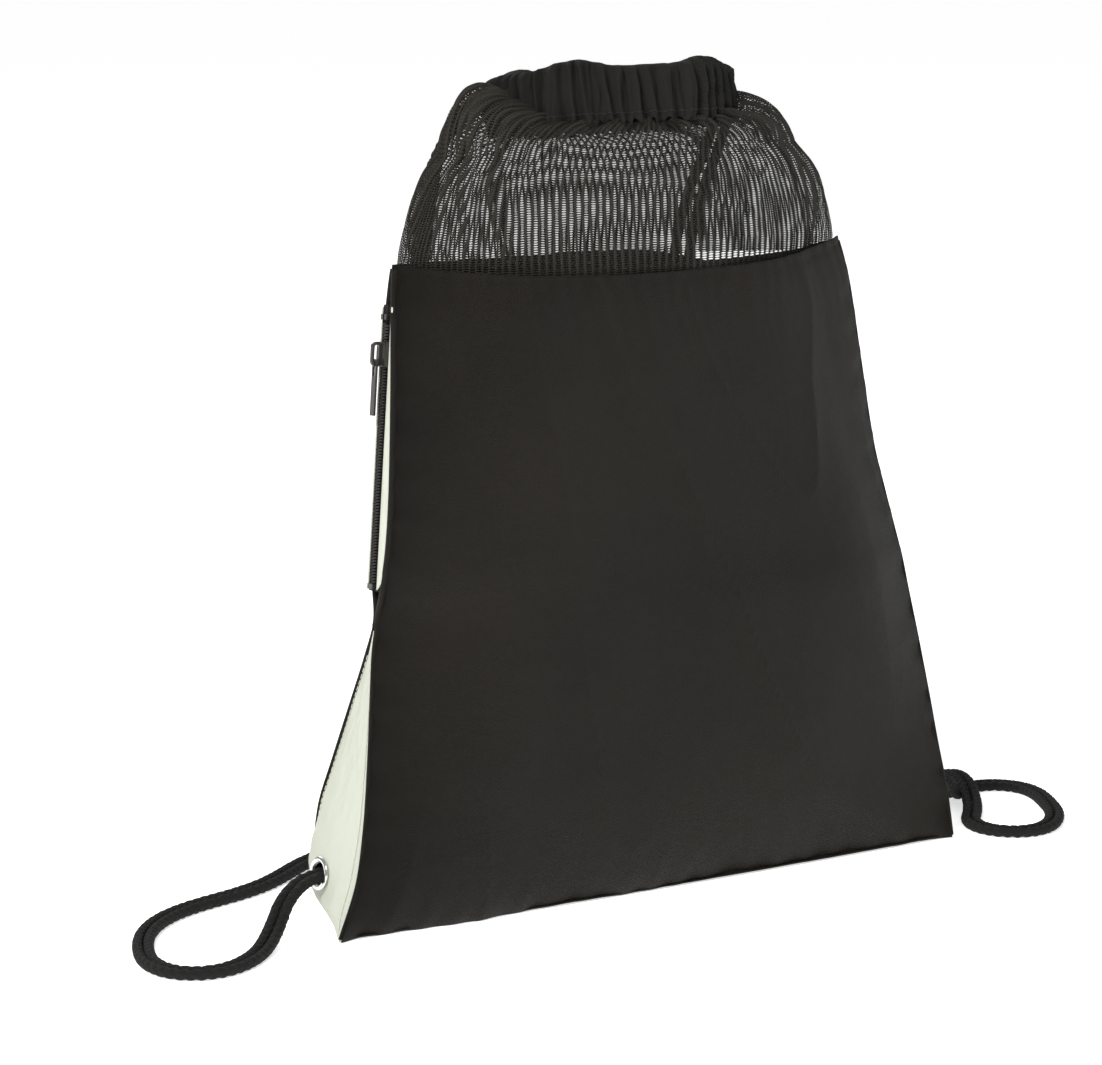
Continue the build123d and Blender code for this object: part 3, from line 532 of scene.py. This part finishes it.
def strand(route, sign):
    """One strand of a doubled cord: the route moved sideways by half the spacing."""
    points = [Vector(row[0]) for row in route]
    moved = []
    for index, (_, normal, half) in enumerate(route):
        before = points[index] - points[max(index - 1, 0)]
        after = points[min(index + 1, len(points) - 1)] - points[index]
        before = before.normalized() if index > 0 else after.normalized()
        after = after.normalized() if index < len(points) - 1 else before
        side = (before + after).cross(Vector(normal)).normalized()
        mitre = ((before + after).length / 2) if index else 1.0
        moved.append(points[index] + side * (sign * half / mitre))
    return moved


def mouth_point(x, y, height):
    """A point given on the casing's leaning plane."""
    along = Vector((0, math.sin(MOUTH_LEAN), math.cos(MOUTH_LEAN)))
    across = along.cross(Vector((1, 0, 0)))
    return Vector(MOUTH_CENTRE) + along * height + Vector((1, 0, 0)) * x + across * y


def ring(side):
    """The cord's way round inside the casing, from the back of its exit to the front."""
    half_x = CASING_X - CASING_DEEP / 2
    half_y = CASING_Y - CASING_DEEP / 2
    count = round((360 - 2 * RING_OPEN) / RING_STEP)
    turn = 180 if side == "left" else 0
    points = []
    for index in range(count + 1):
        angle = math.radians(turn + RING_OPEN + index * (360 - 2 * RING_OPEN) / count)
        points.append(mouth_point(half_x * math.cos(angle), half_y * math.sin(angle), RING_HEIGHTS[side]))
    return points


def entry(before, start, end, after, reach):
    """Points of a smooth bend from one run of the cord to the next."""
    leave = start + (start - before).normalized() * reach[0]
    arrive = end + (end - after).normalized() * reach[1]
    points = []
    for share in (0.25, 0.5, 0.75):
        rest = 1 - share
        bend = leave * (3 * rest**2 * share) + arrive * (3 * rest * share**2)
        points.append(start * rest**3 + bend + end * share**3)
    return points


def cord_points(side):
    loop = ring(side)
    ways = [strand(ROUTES[side], sign) for sign in (1, -1)]
    first, last = sorted(ways, key=lambda way: way[-1].x)
    reach = ENTRY_REACH[side]
    into = entry(first[-2], first[-1], loop[0], loop[1], reach)
    out = entry(last[-2], last[-1], loop[-1], loop[-2], reach)
    return first + into + loop + out[::-1] + last[::-1]


def smooth_line(points, resolution=24):
    """The line of a NURBS spline that has these control points."""
    data = bpy.data.curves.new("route", "CURVE")
    data.dimensions = "3D"
    spline = data.splines.new("NURBS")
    spline.points.add(len(points) - 1)
    for target, point in zip(spline.points, points):
        target.co = (*point, 1)
    spline.order_u = 3
    spline.use_endpoint_u = True
    spline.resolution_u = resolution
    holder = bpy.data.objects.new("route", data)
    scene.collection.objects.link(holder)
    bpy.context.view_layer.update()
    mesh = bpy.data.meshes.new_from_object(holder)
    line = [v.co.copy() for v in mesh.vertices]
    bpy.data.objects.remove(holder)
    return line


def even_line(line, step):
    """The same line with its points evenly spaced."""
    array = np.array([tuple(p) for p in line])
    runs = np.r_[0, np.cumsum(np.linalg.norm(np.diff(array, axis=0), axis=1))]
    count = max(int(runs[-1] / step), 2)
    wanted = np.linspace(0, runs[-1], count + 1)
    return [Vector([np.interp(x, runs, array[:, k]) for k in range(3)]) for x in wanted]


def braid(run, angle):
    """Ridges of a tubular braid, in metres."""
    twist = run * math.tau / 0.0100
    one = math.sin(3 * angle + 2 * twist)
    other = math.sin(3 * angle - 2 * twist)
    return 0.00055 * max(one, other) - 0.00026


KNOT_AT = {"left": Vector((-0.1505, -0.0092, 0.0258)), "right": Vector((0.1555, -0.0113, 0.026))}
for side, length in (("left", 1.870), ("right", 2.174)):
    line = even_line(smooth_line(cord_points(side)), 0.0011)
    vertices, faces, uvs = tube_mesh(line, CORD / 2, 18, braid)
    drawcord = finish_mesh(f"cord_{side}", vertices, faces, cord_cloth, uvs)
    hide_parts(f"drawcord_{side}")
    loops = []
    for index in range(61):
        a = math.tau * index / 60
        x = (math.sin(a) + 2 * math.sin(2 * a)) * 0.00165
        y = (math.cos(a) - 2 * math.cos(2 * a)) * 0.00165
        z = -math.sin(3 * a) * 0.0021
        loops.append(KNOT_AT[side] + Vector((z, x, y)))
    knot = tubes(f"knot_{side}", [loops], 0.0023, 14, cord_cloth)
    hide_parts(f"cord_knot_{side}")
    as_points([tuple(p) for p in line[::3]] + [tuple(line[-1])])

# ---------------------------------------------------------------- body panels


def seam_ends(z, which):
    """Ends of a panel's cross-section at this height, its depth and its squareness."""
    row = row_at(SECTIONS, z)
    front_left, back_left, front_right, back_right = row[0:2], row[2:4], row[4:6], row[6:8]
    if which == "front":
        return front_left, front_right, -row[8], row[10]
    return back_left, back_right, row[9], row[10]


def panel_point(which, s, z, proud=0.0):
    left, right, depth, square = seam_ends(z, which)
    step = 2 * s - 1
    x = left[0] + (right[0] - left[0]) * s
    base = left[1] + (right[1] - left[1]) * s
    middle = (left[1] + right[1]) / 2
    y = base + (depth - middle) * (1 - abs(step) ** square)
    return x, y + proud * (1 if depth > 0 else -1), z


def edge_spread(s):
    """Puts more columns near a panel's two side seams."""
    step = 2 * s - 1
    return (1 + math.copysign(abs(math.sin(step * math.pi / 2)), step)) / 2


def wrinkle(s, t, seed):
    """How far a stuffed panel stands proud of its smooth shape, in millimetres."""
    inside = min(s, 1 - s) * 2
    fade = min(inside * 5, 1)
    broad = noise.noise(Vector((s * 2.6, t * 1.5, seed))) * 6.5
    broad += noise.noise(Vector((s * 5.5 + 1.6 * t, t * 2.4, seed + 4))) * 3.0
    folds = noise.noise(Vector((s * 5 + 1.1 * t, t * 1.3, seed + 7)))
    folds = (1 - min(abs(folds) * 5, 1)) ** 2 * 1.3
    fine = rough(s * 3, t * 3, 4.0, seed + 11) * 0.32
    broad += fine
    pucker = math.sin(t * 95 + 3 * rough(s, t, 6, seed + 3)) * math.exp(-inside * 16) * 0.7
    hem = math.exp(-(1 - t) * 18) * math.sin(s * 160 + 5 * rough(s, t, 5, seed + 5)) * 0.35
    foot = math.exp(-t * 16) * math.sin(s * 120 + 4 * rough(s, t, 4, seed + 9)) * 0.45
    return fade * (broad + folds) + pucker + hem + foot


HEM_SAG = {"front": 7.0, "back": 5.0}
PANEL_CUT = (0.36, 0.33)


def panel(which):
    def place(s, t):
        s2 = edge_spread(s)
        top = 311 - HEM_SAG[which] * (1 - abs(2 * s2 - 1) ** 2.5)
        if which == "back":
            top -= 11 * math.exp(-(((s2 - 0.83) / 0.13) ** 2))
        z = top * t
        x, y, z = panel_point(which, s2, z)
        low = math.exp(-z / 5.0) * 4.0 * min(min(s2, 1 - s2) * 30, 1)
        proud = wrinkle(s2, t, 3.1 if which == "front" else 23.7) - low
        outward = -1 if which == "front" else 1
        # the stitched hem pulls the cloth in a little
        proud -= 0.6 * math.exp(-(((top - z - 4.5) / 1.3) ** 2))
        return x * MM, (y + outward * proud) * MM, max(z, 0.6) * MM

    inward = -1 if which == "back" else 1
    piece = grid(f"{which}_cloth", place, 190, 170, black, PANEL_CUT, 0.0009, offset=inward)
    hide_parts(f"{which}_panel")
    return piece, place


front, front_place = panel("front")
back, back_place = panel("back")
stitch_side = {"front": -0.0005, "back": 0.0005}
for which, place in (("front", front_place), ("back", back_place)):
    line = []
    for index in range(241):
        s = index / 240
        x, y, z = place(s, 1 - 4.4 / 309)
        line.append((x, y + stitch_side[which], z))
    stitches(f"hem_stitches_{which}", line, 0.0026, 0.0009, 0.00022, thread)


def lining_place(s, t):
    z = 4 + 303 * t
    row = row_at(SECTIONS, z)
    belly = row_at(LINING_BELLIES, z)[0]
    behind = min(max((z - 148) / 27, 0), 1) * min(max((300 - z) / 25, 0), 1)
    left_y = row[1] + 2.0
    left_y += (row[3] - 6.0 - left_y) * behind
    left = (row[0] + LINING_INSET, left_y)
    right = (row[4] - LINING_RIGHT_INSET, row[5] + 2.5)
    x = left[0] + (right[0] - left[0]) * s
    base = left[1] + (right[1] - left[1]) * s
    y = base + (-belly - (left[1] + right[1]) / 2) * (1 - abs(2 * s - 1) ** 2.2)
    return x * MM, (y + 0.7 + 0.5 * rough(s * 3, t * 2, 3, 9.0)) * MM, z * MM


lining_piece = grid("lining_cloth", lining_place, 90, 70, lining, (0.35, 0.31), 0.0006)
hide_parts("front_lining")


def bottom_place(s, t):
    x = (-174 + 348 * s) * (1 - 0.175 * t)
    bulge_front = -37.0 - 3.0 * (1 - abs(2 * s - 1) ** 2.2)
    bulge_back = 30.5 + 5.0 * (1 - abs(2 * s - 1) ** 2.2)
    y = bulge_front + (bulge_back - bulge_front) * t
    return x * MM, y * MM, (0.9 + 0.25 * abs(rough(s * 3, t, 3, 2.0))) * MM


bottom_size = (0.35, 0.072)
bottom_piece = grid(
    "bottom_cloth", bottom_place, 80, 30, black, bottom_size, 0.0006, offset=1
)
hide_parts("bottom_panel")

# ---------------------------------------------------------------- gussets and eyelets


def arc_point(start, middle, end, s):
    """A point on the circle through three points, s from 0 to 1."""
    ax, ay = start
    bx, by = middle
    cx, cy = end
    d = 2 * (ax * (by - cy) + bx * (cy - ay) + cx * (ay - by))
    if abs(d) < 1e-6:
        return ax + (cx - ax) * s, ay + (cy - ay) * s
    ux = ((ax**2 + ay**2) * (by - cy) + (bx**2 + by**2) * (cy - ay) + (cx**2 + cy**2) * (ay - by)) / d
    uy = ((ax**2 + ay**2) * (cx - bx) + (bx**2 + by**2) * (ax - cx) + (cx**2 + cy**2) * (bx - ax)) / d
    radius = math.hypot(ax - ux, ay - uy)
    first = math.atan2(ay - uy, ax - ux)
    turn_mid = (math.atan2(by - uy, bx - ux) - first) % math.tau
    turn_end = (math.atan2(cy - uy, cx - ux) - first) % math.tau
    if turn_mid > turn_end:
        turn_end -= math.tau
    angle = first + turn_end * s
    return ux + radius * math.cos(angle), uy + radius * math.sin(angle)


GUSSET_TOP = 141.0
gusset_rows = GUSSET_MIDDLES + [(GUSSET_TOP, (-145.2, -13.4), (160.6, -12.9))]


def gusset_place(side):
    def place(s, t):
        z = GUSSET_TOP * t
        row = row_at(SECTIONS, z)
        mid = row_at(gusset_rows, z)
        if side == "left":
            front_end, back_end, middle = row[0:2], row[2:4], mid[0:2]
        else:
            front_end, back_end, middle = row[4:6], row[6:8], mid[2:4]
        gap = 1.2 * min((GUSSET_TOP - z) / 12, 1)
        start, end = (front_end[0], front_end[1] + gap), (back_end[0], back_end[1] - gap)
        x, y = arc_point(start, middle, end, s)
        bump = rough(s * 1.3, t * 2.2, 3.0, 41.0 if side == "left" else 57.0)
        edge = min(s, 1 - s) * 2
        amount = 0.9 * bump * min(edge * 4, 1) * min((1 - t) * 4, 1) * min(t * 6, 1)
        amount += 3.4 * math.exp(-(((z - 12) / 8) ** 2)) * min(edge * 3, 1)
        around = math.hypot(y + 9.5, z - 26.0)
        amount *= 1 - math.exp(-((around / 12) ** 4))
        outward = -1 if side == "left" else 1
        return (x + outward * amount) * MM, y * MM, max(z, 0.5) * MM

    return place


def cut_round(piece, centre, radius):
    """Removes the faces of a sheet around a point."""
    data = piece.data
    keep = [p for p in data.polygons if (p.center - centre).length > radius]
    faces = [tuple(p.vertices) for p in keep]
    uvs = {}
    layer = data.uv_layers["UVMap"].data
    for p in data.polygons:
        for loop, vertex in zip(p.loop_indices, p.vertices):
            uvs[vertex] = tuple(layer[loop].uv)
    used = sorted({i for face in faces for i in face})
    index = {old: new for new, old in enumerate(used)}
    vertices = [data.vertices[i].co.copy() for i in used]
    fresh = bpy.data.meshes.new(data.name)
    fresh.from_pydata(vertices, [], [tuple(index[i] for i in face) for face in faces])
    new_layer = fresh.uv_layers.new(name="UVMap")
    for polygon in fresh.polygons:
        for loop, vertex in zip(polygon.loop_indices, polygon.vertices):
            new_layer.data[loop].uv = uvs[used[vertex]]
        polygon.use_smooth = True
    fresh.materials.append(data.materials[0])
    piece.data = fresh


def lathe(name, centre, axis, profile, material, steps=64):
    """A ring turned about an axis: the profile is (radius, height) in metres, closed."""
    axis = axis.normalized()
    side = axis.orthogonal().normalized()
    up = axis.cross(side)
    vertices, faces = [], []
    for k in range(steps):
        angle = math.tau * k / steps
        direction = side * math.cos(angle) + up * math.sin(angle)
        vertices += [centre + direction * r + axis * h for r, h in profile]
    n = len(profile)
    for k in range(steps):
        for i in range(n):
            a, b = k * n + i, k * n + (i + 1) % n
            c = (k + 1) % steps
            faces.append((a, b, c * n + (i + 1) % n, c * n + i))
    return finish_mesh(name, vertices, faces, material)


def flange_profile():
    """A rolled eyelet: domed flange outside, barrel, and a curled lip inside."""
    points = [(0.0054, -0.0042), (0.0054, 0.0008)]
    for index in range(13):
        a = math.pi * index / 12
        points.append((0.0067 - 0.0013 * math.cos(a), 0.0008 + 0.0009 * math.sin(a)))
    points += [(0.0080, 0.0004), (0.0079, 0.00036), (0.0062, 0.00036), (0.0060, 0.0)]
    points += [(0.0060, -0.0038), (0.0066, -0.0041), (0.0068, -0.0046), (0.0060, -0.0048)]
    return points


for side in ("left", "right"):
    place = gusset_place(side)
    sheet = grid(f"gusset_cloth_{side}", place, 96, 150, ivory, (0.078, 0.142), 0)
    centre, axis = GROMMETS[side]
    cut_round(sheet, centre, 0.0066)
    apply_modifier(sheet, "SOLIDIFY", thickness=0.0007, offset=1 if side == "left" else -1)
    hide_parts(f"gusset_{side}")
    eyelet = lathe(f"eyelet_{side}", centre, axis, flange_profile(), nickel)
    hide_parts(f"grommet_{side}")
    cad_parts[f"grommet_washer_{side}"].data.materials.clear()
    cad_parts[f"grommet_washer_{side}"].data.materials.append(nickel)

for side in ("left", "right"):
    place = gusset_place(side)
    out = -0.0004 if side == "left" else 0.0004
    for edge in (0.05, 0.95):
        line = [np.array(place(edge, i / 160)) + np.array([out, 0, 0]) for i in range(4, 150)]
        name = f"gusset_stitches_{side}_{edge:.2f}"
        stitches(name, line, 0.0024, 0.0009, 0.0002, ivory_thread)

# seams: a narrow roll of cloth where two panels meet
seams = []
for which, side in (("front", 0.0), ("front", 1.0), ("back", 0.0), ("back", 1.0)):
    line = []
    for index in range(130):
        z = 1.5 + 149 * index / 129
        x, y, z = panel_point(which, side, z)
        out = -0.3 if side == 0.0 else 0.3
        line.append(((x + out) * MM, y * MM, max(z, 1.2) * MM))
    seams.append(line)
tubes("seam_rolls", seams, 0.0010, 10, black)
slit_edges = []
for which, shift in (("front", 0.5), ("back", -0.8)):
    line = []
    for index in range(150):
        z = 143 + 166 * index / 149
        x, y, z = panel_point(which, 0.0, z)
        line.append(((x - 0.2) * MM, (y + shift) * MM, z * MM))
    slit_edges.append(line)
tubes("slit_rolls", slit_edges, 0.0017, 12, black)
line = [tuple(np.array(panel_point("front", edge_spread(i / 200), 1.6)) * MM) for i in range(9, 192)]
line_back = [tuple(np.array(panel_point("back", edge_spread(i / 200), 1.6)) * MM) for i in range(9, 192)]
step_in = Vector((0, 0.0042, 0))
foot_lines = [[Vector(p) + step_in for p in line], [Vector(p) - step_in for p in line_back]]
tubes("foot_rolls", foot_lines, 0.0013, 10, black)
side_line = []
for index in range(100):
    z = 146 + 162 * index / 99
    row = row_at(SECTIONS, z)
    side_line.append(((row[4] + 0.2) * MM, (row[5] + row[7]) / 2 * MM, z * MM))
side_roll = tubes("side_roll", [side_line], 0.0016, 12, black)
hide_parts("seam_right")

# ---------------------------------------------------------------- net and casing

def mesh_ring(s, t):
    """A point of the net's outline, s round from the left side seam by the front, t up."""
    angle = math.pi + s * math.tau
    step = math.cos(angle)
    front = math.sin(angle) < 0
    if t < 0.62:
        z = 303.5 + (360 - 303.5) * t / 0.62
        row = row_at(NET_SECTIONS, max(z, 311.5))
        left, right, depth = row
        roundness = min(max((z - 311.5) / 48.5, 0), 1) * 0.6
        lens = 1 - abs(step) ** 2.2
        oval = max(1 - step * step, 0) ** 0.5
        y = depth * (lens + (oval - lens) * roundness) * (-1 if front else 1)
        x = left + (right - left) * (step + 1) / 2
        return Vector((x * MM, y * MM, z * MM))
    share = (t - 0.62) / 0.38
    row = row_at(NET_SECTIONS, 360)
    left, right, depth = row
    lens = 1 - abs(step) ** 2.2
    oval = max(1 - step * step, 0) ** 0.5
    y = depth * (lens + (oval - lens) * 0.6) * (-1 if front else 1)
    low = Vector(((left + (right - left) * (step + 1) / 2) * MM, y * MM, 0.360))
    climb = (0.021 if step < 0 else 0.015) * abs(step) ** 5
    high = mouth_point(CASING_X * math.cos(angle), CASING_Y * math.sin(angle), climb)
    out, up = 1 - math.cos(share * math.pi / 2), math.sin(share * math.pi / 2)
    point = low.lerp(high, out * 0.75 + share * 0.25)
    puff = (0.006 if step < 0 else 0.001) * abs(step) ** 3 * math.sin(share * math.pi)
    point.z = low.z + (high.z - low.z) * up + puff
    return point


# folds of the net: way round at the hem and at the casing, width, depth at the hem and at the casing
NET_FOLDS = [
    (0.040, 0.020, 0.012, 2.5, 5.0),
    (0.083, 0.040, 0.008, 2.0, 4.0),
    (0.108, 0.055, 0.008, 2.2, 4.0),
    (0.142, 0.095, 0.005, 1.4, 2.6),
    (0.407, 0.385, 0.016, 3.0, 5.5),
    (0.455, 0.430, 0.008, 1.8, 3.2),
    (0.560, 0.580, 0.010, 2.2, 3.6),
    (0.660, 0.650, 0.008, 1.6, 3.0),
    (0.810, 0.830, 0.010, 2.2, 3.6),
    (0.930, 0.945, 0.012, 2.4, 4.2),
]


def fold_at(s, t):
    """How far the net's folds stand out here, in millimetres, and how dense they make it."""
    out, dense = 0.0, 0.0
    for low, high, wide, deep_low, deep_high in NET_FOLDS:
        middle = low + (high - low) * t + 0.004 * math.sin(5 * t + 60 * low)
        away = (s - middle + 0.5) % 1 - 0.5
        width = wide * (0.45 + 0.55 * t)
        bell = math.exp(-((away / width) ** 2))
        out += bell * (deep_low + (deep_high - deep_low) * t) * math.cos(away / width * 1.6)
        dense = max(dense, bell * min(0.25 + 1.3 * t, 1.0))
    return out, dense


def gather(s, t):
    """Gathers of the net, in millimetres out, deepening towards the mouth."""
    depth = max(t - 0.3, 0) / 0.7
    phase = 27 * math.tau * s + 5 * rough(s * 6, t * 0.5, 2.0, 71.0)
    small = math.sin(53 * math.tau * s + 6 * rough(s * 9, t, 2.0, 73.0)) * 1.2 * depth**2
    drape = rough(s * 9, t * 0.8, 1.6, 77.0) * 2.2 * min(t * 3, 1)
    swag = math.exp(-(((t - 0.62 + 2.6 * (s - 0.2)) / 0.035) ** 2)) * math.exp(-(((s - 0.25) / 0.07) ** 2))
    drape += 2.0 * swag
    return math.sin(phase) * 2.4 * depth**1.3 + small + drape + fold_at(s, t)[0] * min(t * 4, 1)


def net_place(s, t):
    s2 = s + 0.012 * math.sin(t * 5 + 14 * s) * t
    point = mesh_ring(s2, t)
    centre = Vector((-0.003, 0, point.z - 0.03 * t))
    outward = (point - centre).normalized()
    amount = gather(s, t)
    fixed = min(t * 9, 1)
    side = min(abs(s), abs(s - 0.5), abs(s - 1)) * 2
    amount *= fixed * (0.35 + 0.65 * min(side * 6, 1))
    if t < 0.14:
        amount -= 1.4 * (1 - t / 0.14)
    return point + outward * (amount * MM)


net_sheet = grid("net_cloth", net_place, 620, 100, net, (0.532, 0.112), 0, loop=True)
density = net_sheet.data.attributes.new("dense", "FLOAT", "POINT")
values = []
for j in range(101):
    for i in range(620):
        crowd = max(j / 100 - 0.55, 0) / 0.45
        values.append(min(0.95 * fold_at(i / 620, j / 100)[1] + 0.55 * crowd**2, 1.2))
density.data.foreach_set("value", values)
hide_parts("mesh_front", "mesh_back")


def pleat(s, t):
    """How far the gathered casing stands out, in millimetres, never below its wall."""
    phase = 44 * math.tau * s + 4 * rough(s * 12, t * 0.4, 2.0, 91.0)
    fine = math.sin(97 * math.tau * s + 5 * rough(s * 15, t, 2.0, 95.0))
    return 2.0 * (1 + math.sin(phase)) + 0.5 * fine + 0.8 * rough(s * 8, t, 2.0, 97.0)


def casing_place(s, t):
    """The casing: up its outside, over its top fold and down its inside."""
    angle = math.pi + s * math.tau
    x = CASING_X * math.cos(angle) / MM
    humps = math.exp(-(((x + 38) / 15) ** 2)) + math.exp(-(((x - 39) / 13) ** 2))
    ridge = CASING_TALL + 0.0012 * rough(s * 5, 0.3, 2.0, 101.0) - 0.0015 - 0.0042 * (1 - min(humps, 1))
    if t < 0.42:
        height = ridge * t / 0.42
        inset = -0.0008 * math.sin(t / 0.42 * math.pi)
    elif t < 0.58:
        turn = (t - 0.42) / 0.16 * math.pi
        height = ridge + 0.0035 * math.sin(turn) - 0.001
        inset = CASING_DEEP / 2 * (1 - math.cos(turn))
    else:
        height = ridge * (1 - t) / 0.42
        inset = CASING_DEEP
    turn = min(max((t - 0.42) / 0.16, 0), 1)
    inset += pleat(s, t) * MM * (1.5 * turn - 1)
    height += 0.0012 * math.sin(90 * math.tau * s) * math.exp(-((t / 0.06) ** 2))
    x = (CASING_X - inset) * math.cos(angle)
    y = (CASING_Y - inset) * math.sin(angle)
    return mouth_point(x, y, height)


casing_size = (0.52, 0.072)
casing_sheet = grid(
    "casing_cloth", casing_place, 860, 54, casing_cloth, casing_size, 0.0006, loop=True
)
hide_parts("channel_front", "channel_back")

lower = [Vector(casing_place(i / 1400, 0.07)) for i in range(1401)]
spread = [p + (p - Vector((MOUTH_CENTRE[0], 0, p.z))).normalized() * 0.0004 for p in lower]
stitches("casing_stitches", spread, 0.0022, 0.0008, 0.0002, thread)

# ---------------------------------------------------------------- zipper

zip_along = (ZIP_HEAD - ZIP_FOOT).normalized()
zip_length = (ZIP_HEAD - ZIP_FOOT).length
zip_out = (Vector((-1, 0, 0)) - zip_along * Vector((-1, 0, 0)).dot(zip_along)).normalized()
zip_side = zip_out.cross(zip_along).normalized()


def zip_point(along, side, out):
    return ZIP_FOOT + zip_along * along + zip_side * side + zip_out * out


LIP_EDGE = [(0, 2.2), (6, 5.2), (22, 6.6), (58, 7.0), (95, 5.6), (118, 3.4), (132, 1.0)]
for name, sign, turn in (("front", -1, 10), ("back", 1, 35)):
    lean = math.radians(turn)

    def lip_place(s, t, sign=sign, lean=lean, narrow=(name == "front")):
        along = zip_length * t
        width = np.interp(along / MM, [p[0] for p in LIP_EDGE], [p[1] for p in LIP_EDGE])
        if along < 0.003:
            width *= math.sqrt(max(along / 0.003, 0.02))
        reach = width * s * (0.78 if narrow else 1.0)
        puff = 0.55 * math.sin(s * math.pi) * min(width / 4, 1)
        side = sign * (4.4 + reach * math.cos(lean))
        out = 1.0 - reach * math.sin(lean) + puff
        return zip_point(along, side * MM, out * MM)

    lip = grid(f"lip_{name}", lip_place, 16, 160, ivory, (0.008, 0.132), 0.0007, offset=0)
    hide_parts(f"placket_{name}")
    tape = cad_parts[f"zip_tape_{name}"]
    tape.data.materials.clear()
    tape.data.materials.append(tape_cloth)
    paths = []
    count = 86
    for index in range(count):
        along = 0.0035 + index * 0.00141 + (0.0007 if sign > 0 else 0)
        ends = [(0.0002, 0.0011), (0.0004, 0.0017), (0.0012, 0.0021), (0.0021, 0.0017), (0.0024, 0.0008)]
        paths.append([zip_point(along, sign * a, b) for a, b in ends])
    coil = tubes(f"coil_{name}", paths, 0.00042, 8, teeth_plastic)
    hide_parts(f"zip_coil_{name}")

for node in ("zip_slider", "zip_pull", "zip_bottom_stop", "zip_stop_front", "zip_stop_back"):
    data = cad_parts[node].data
    data.materials.clear()
    data.materials.append(gunmetal)
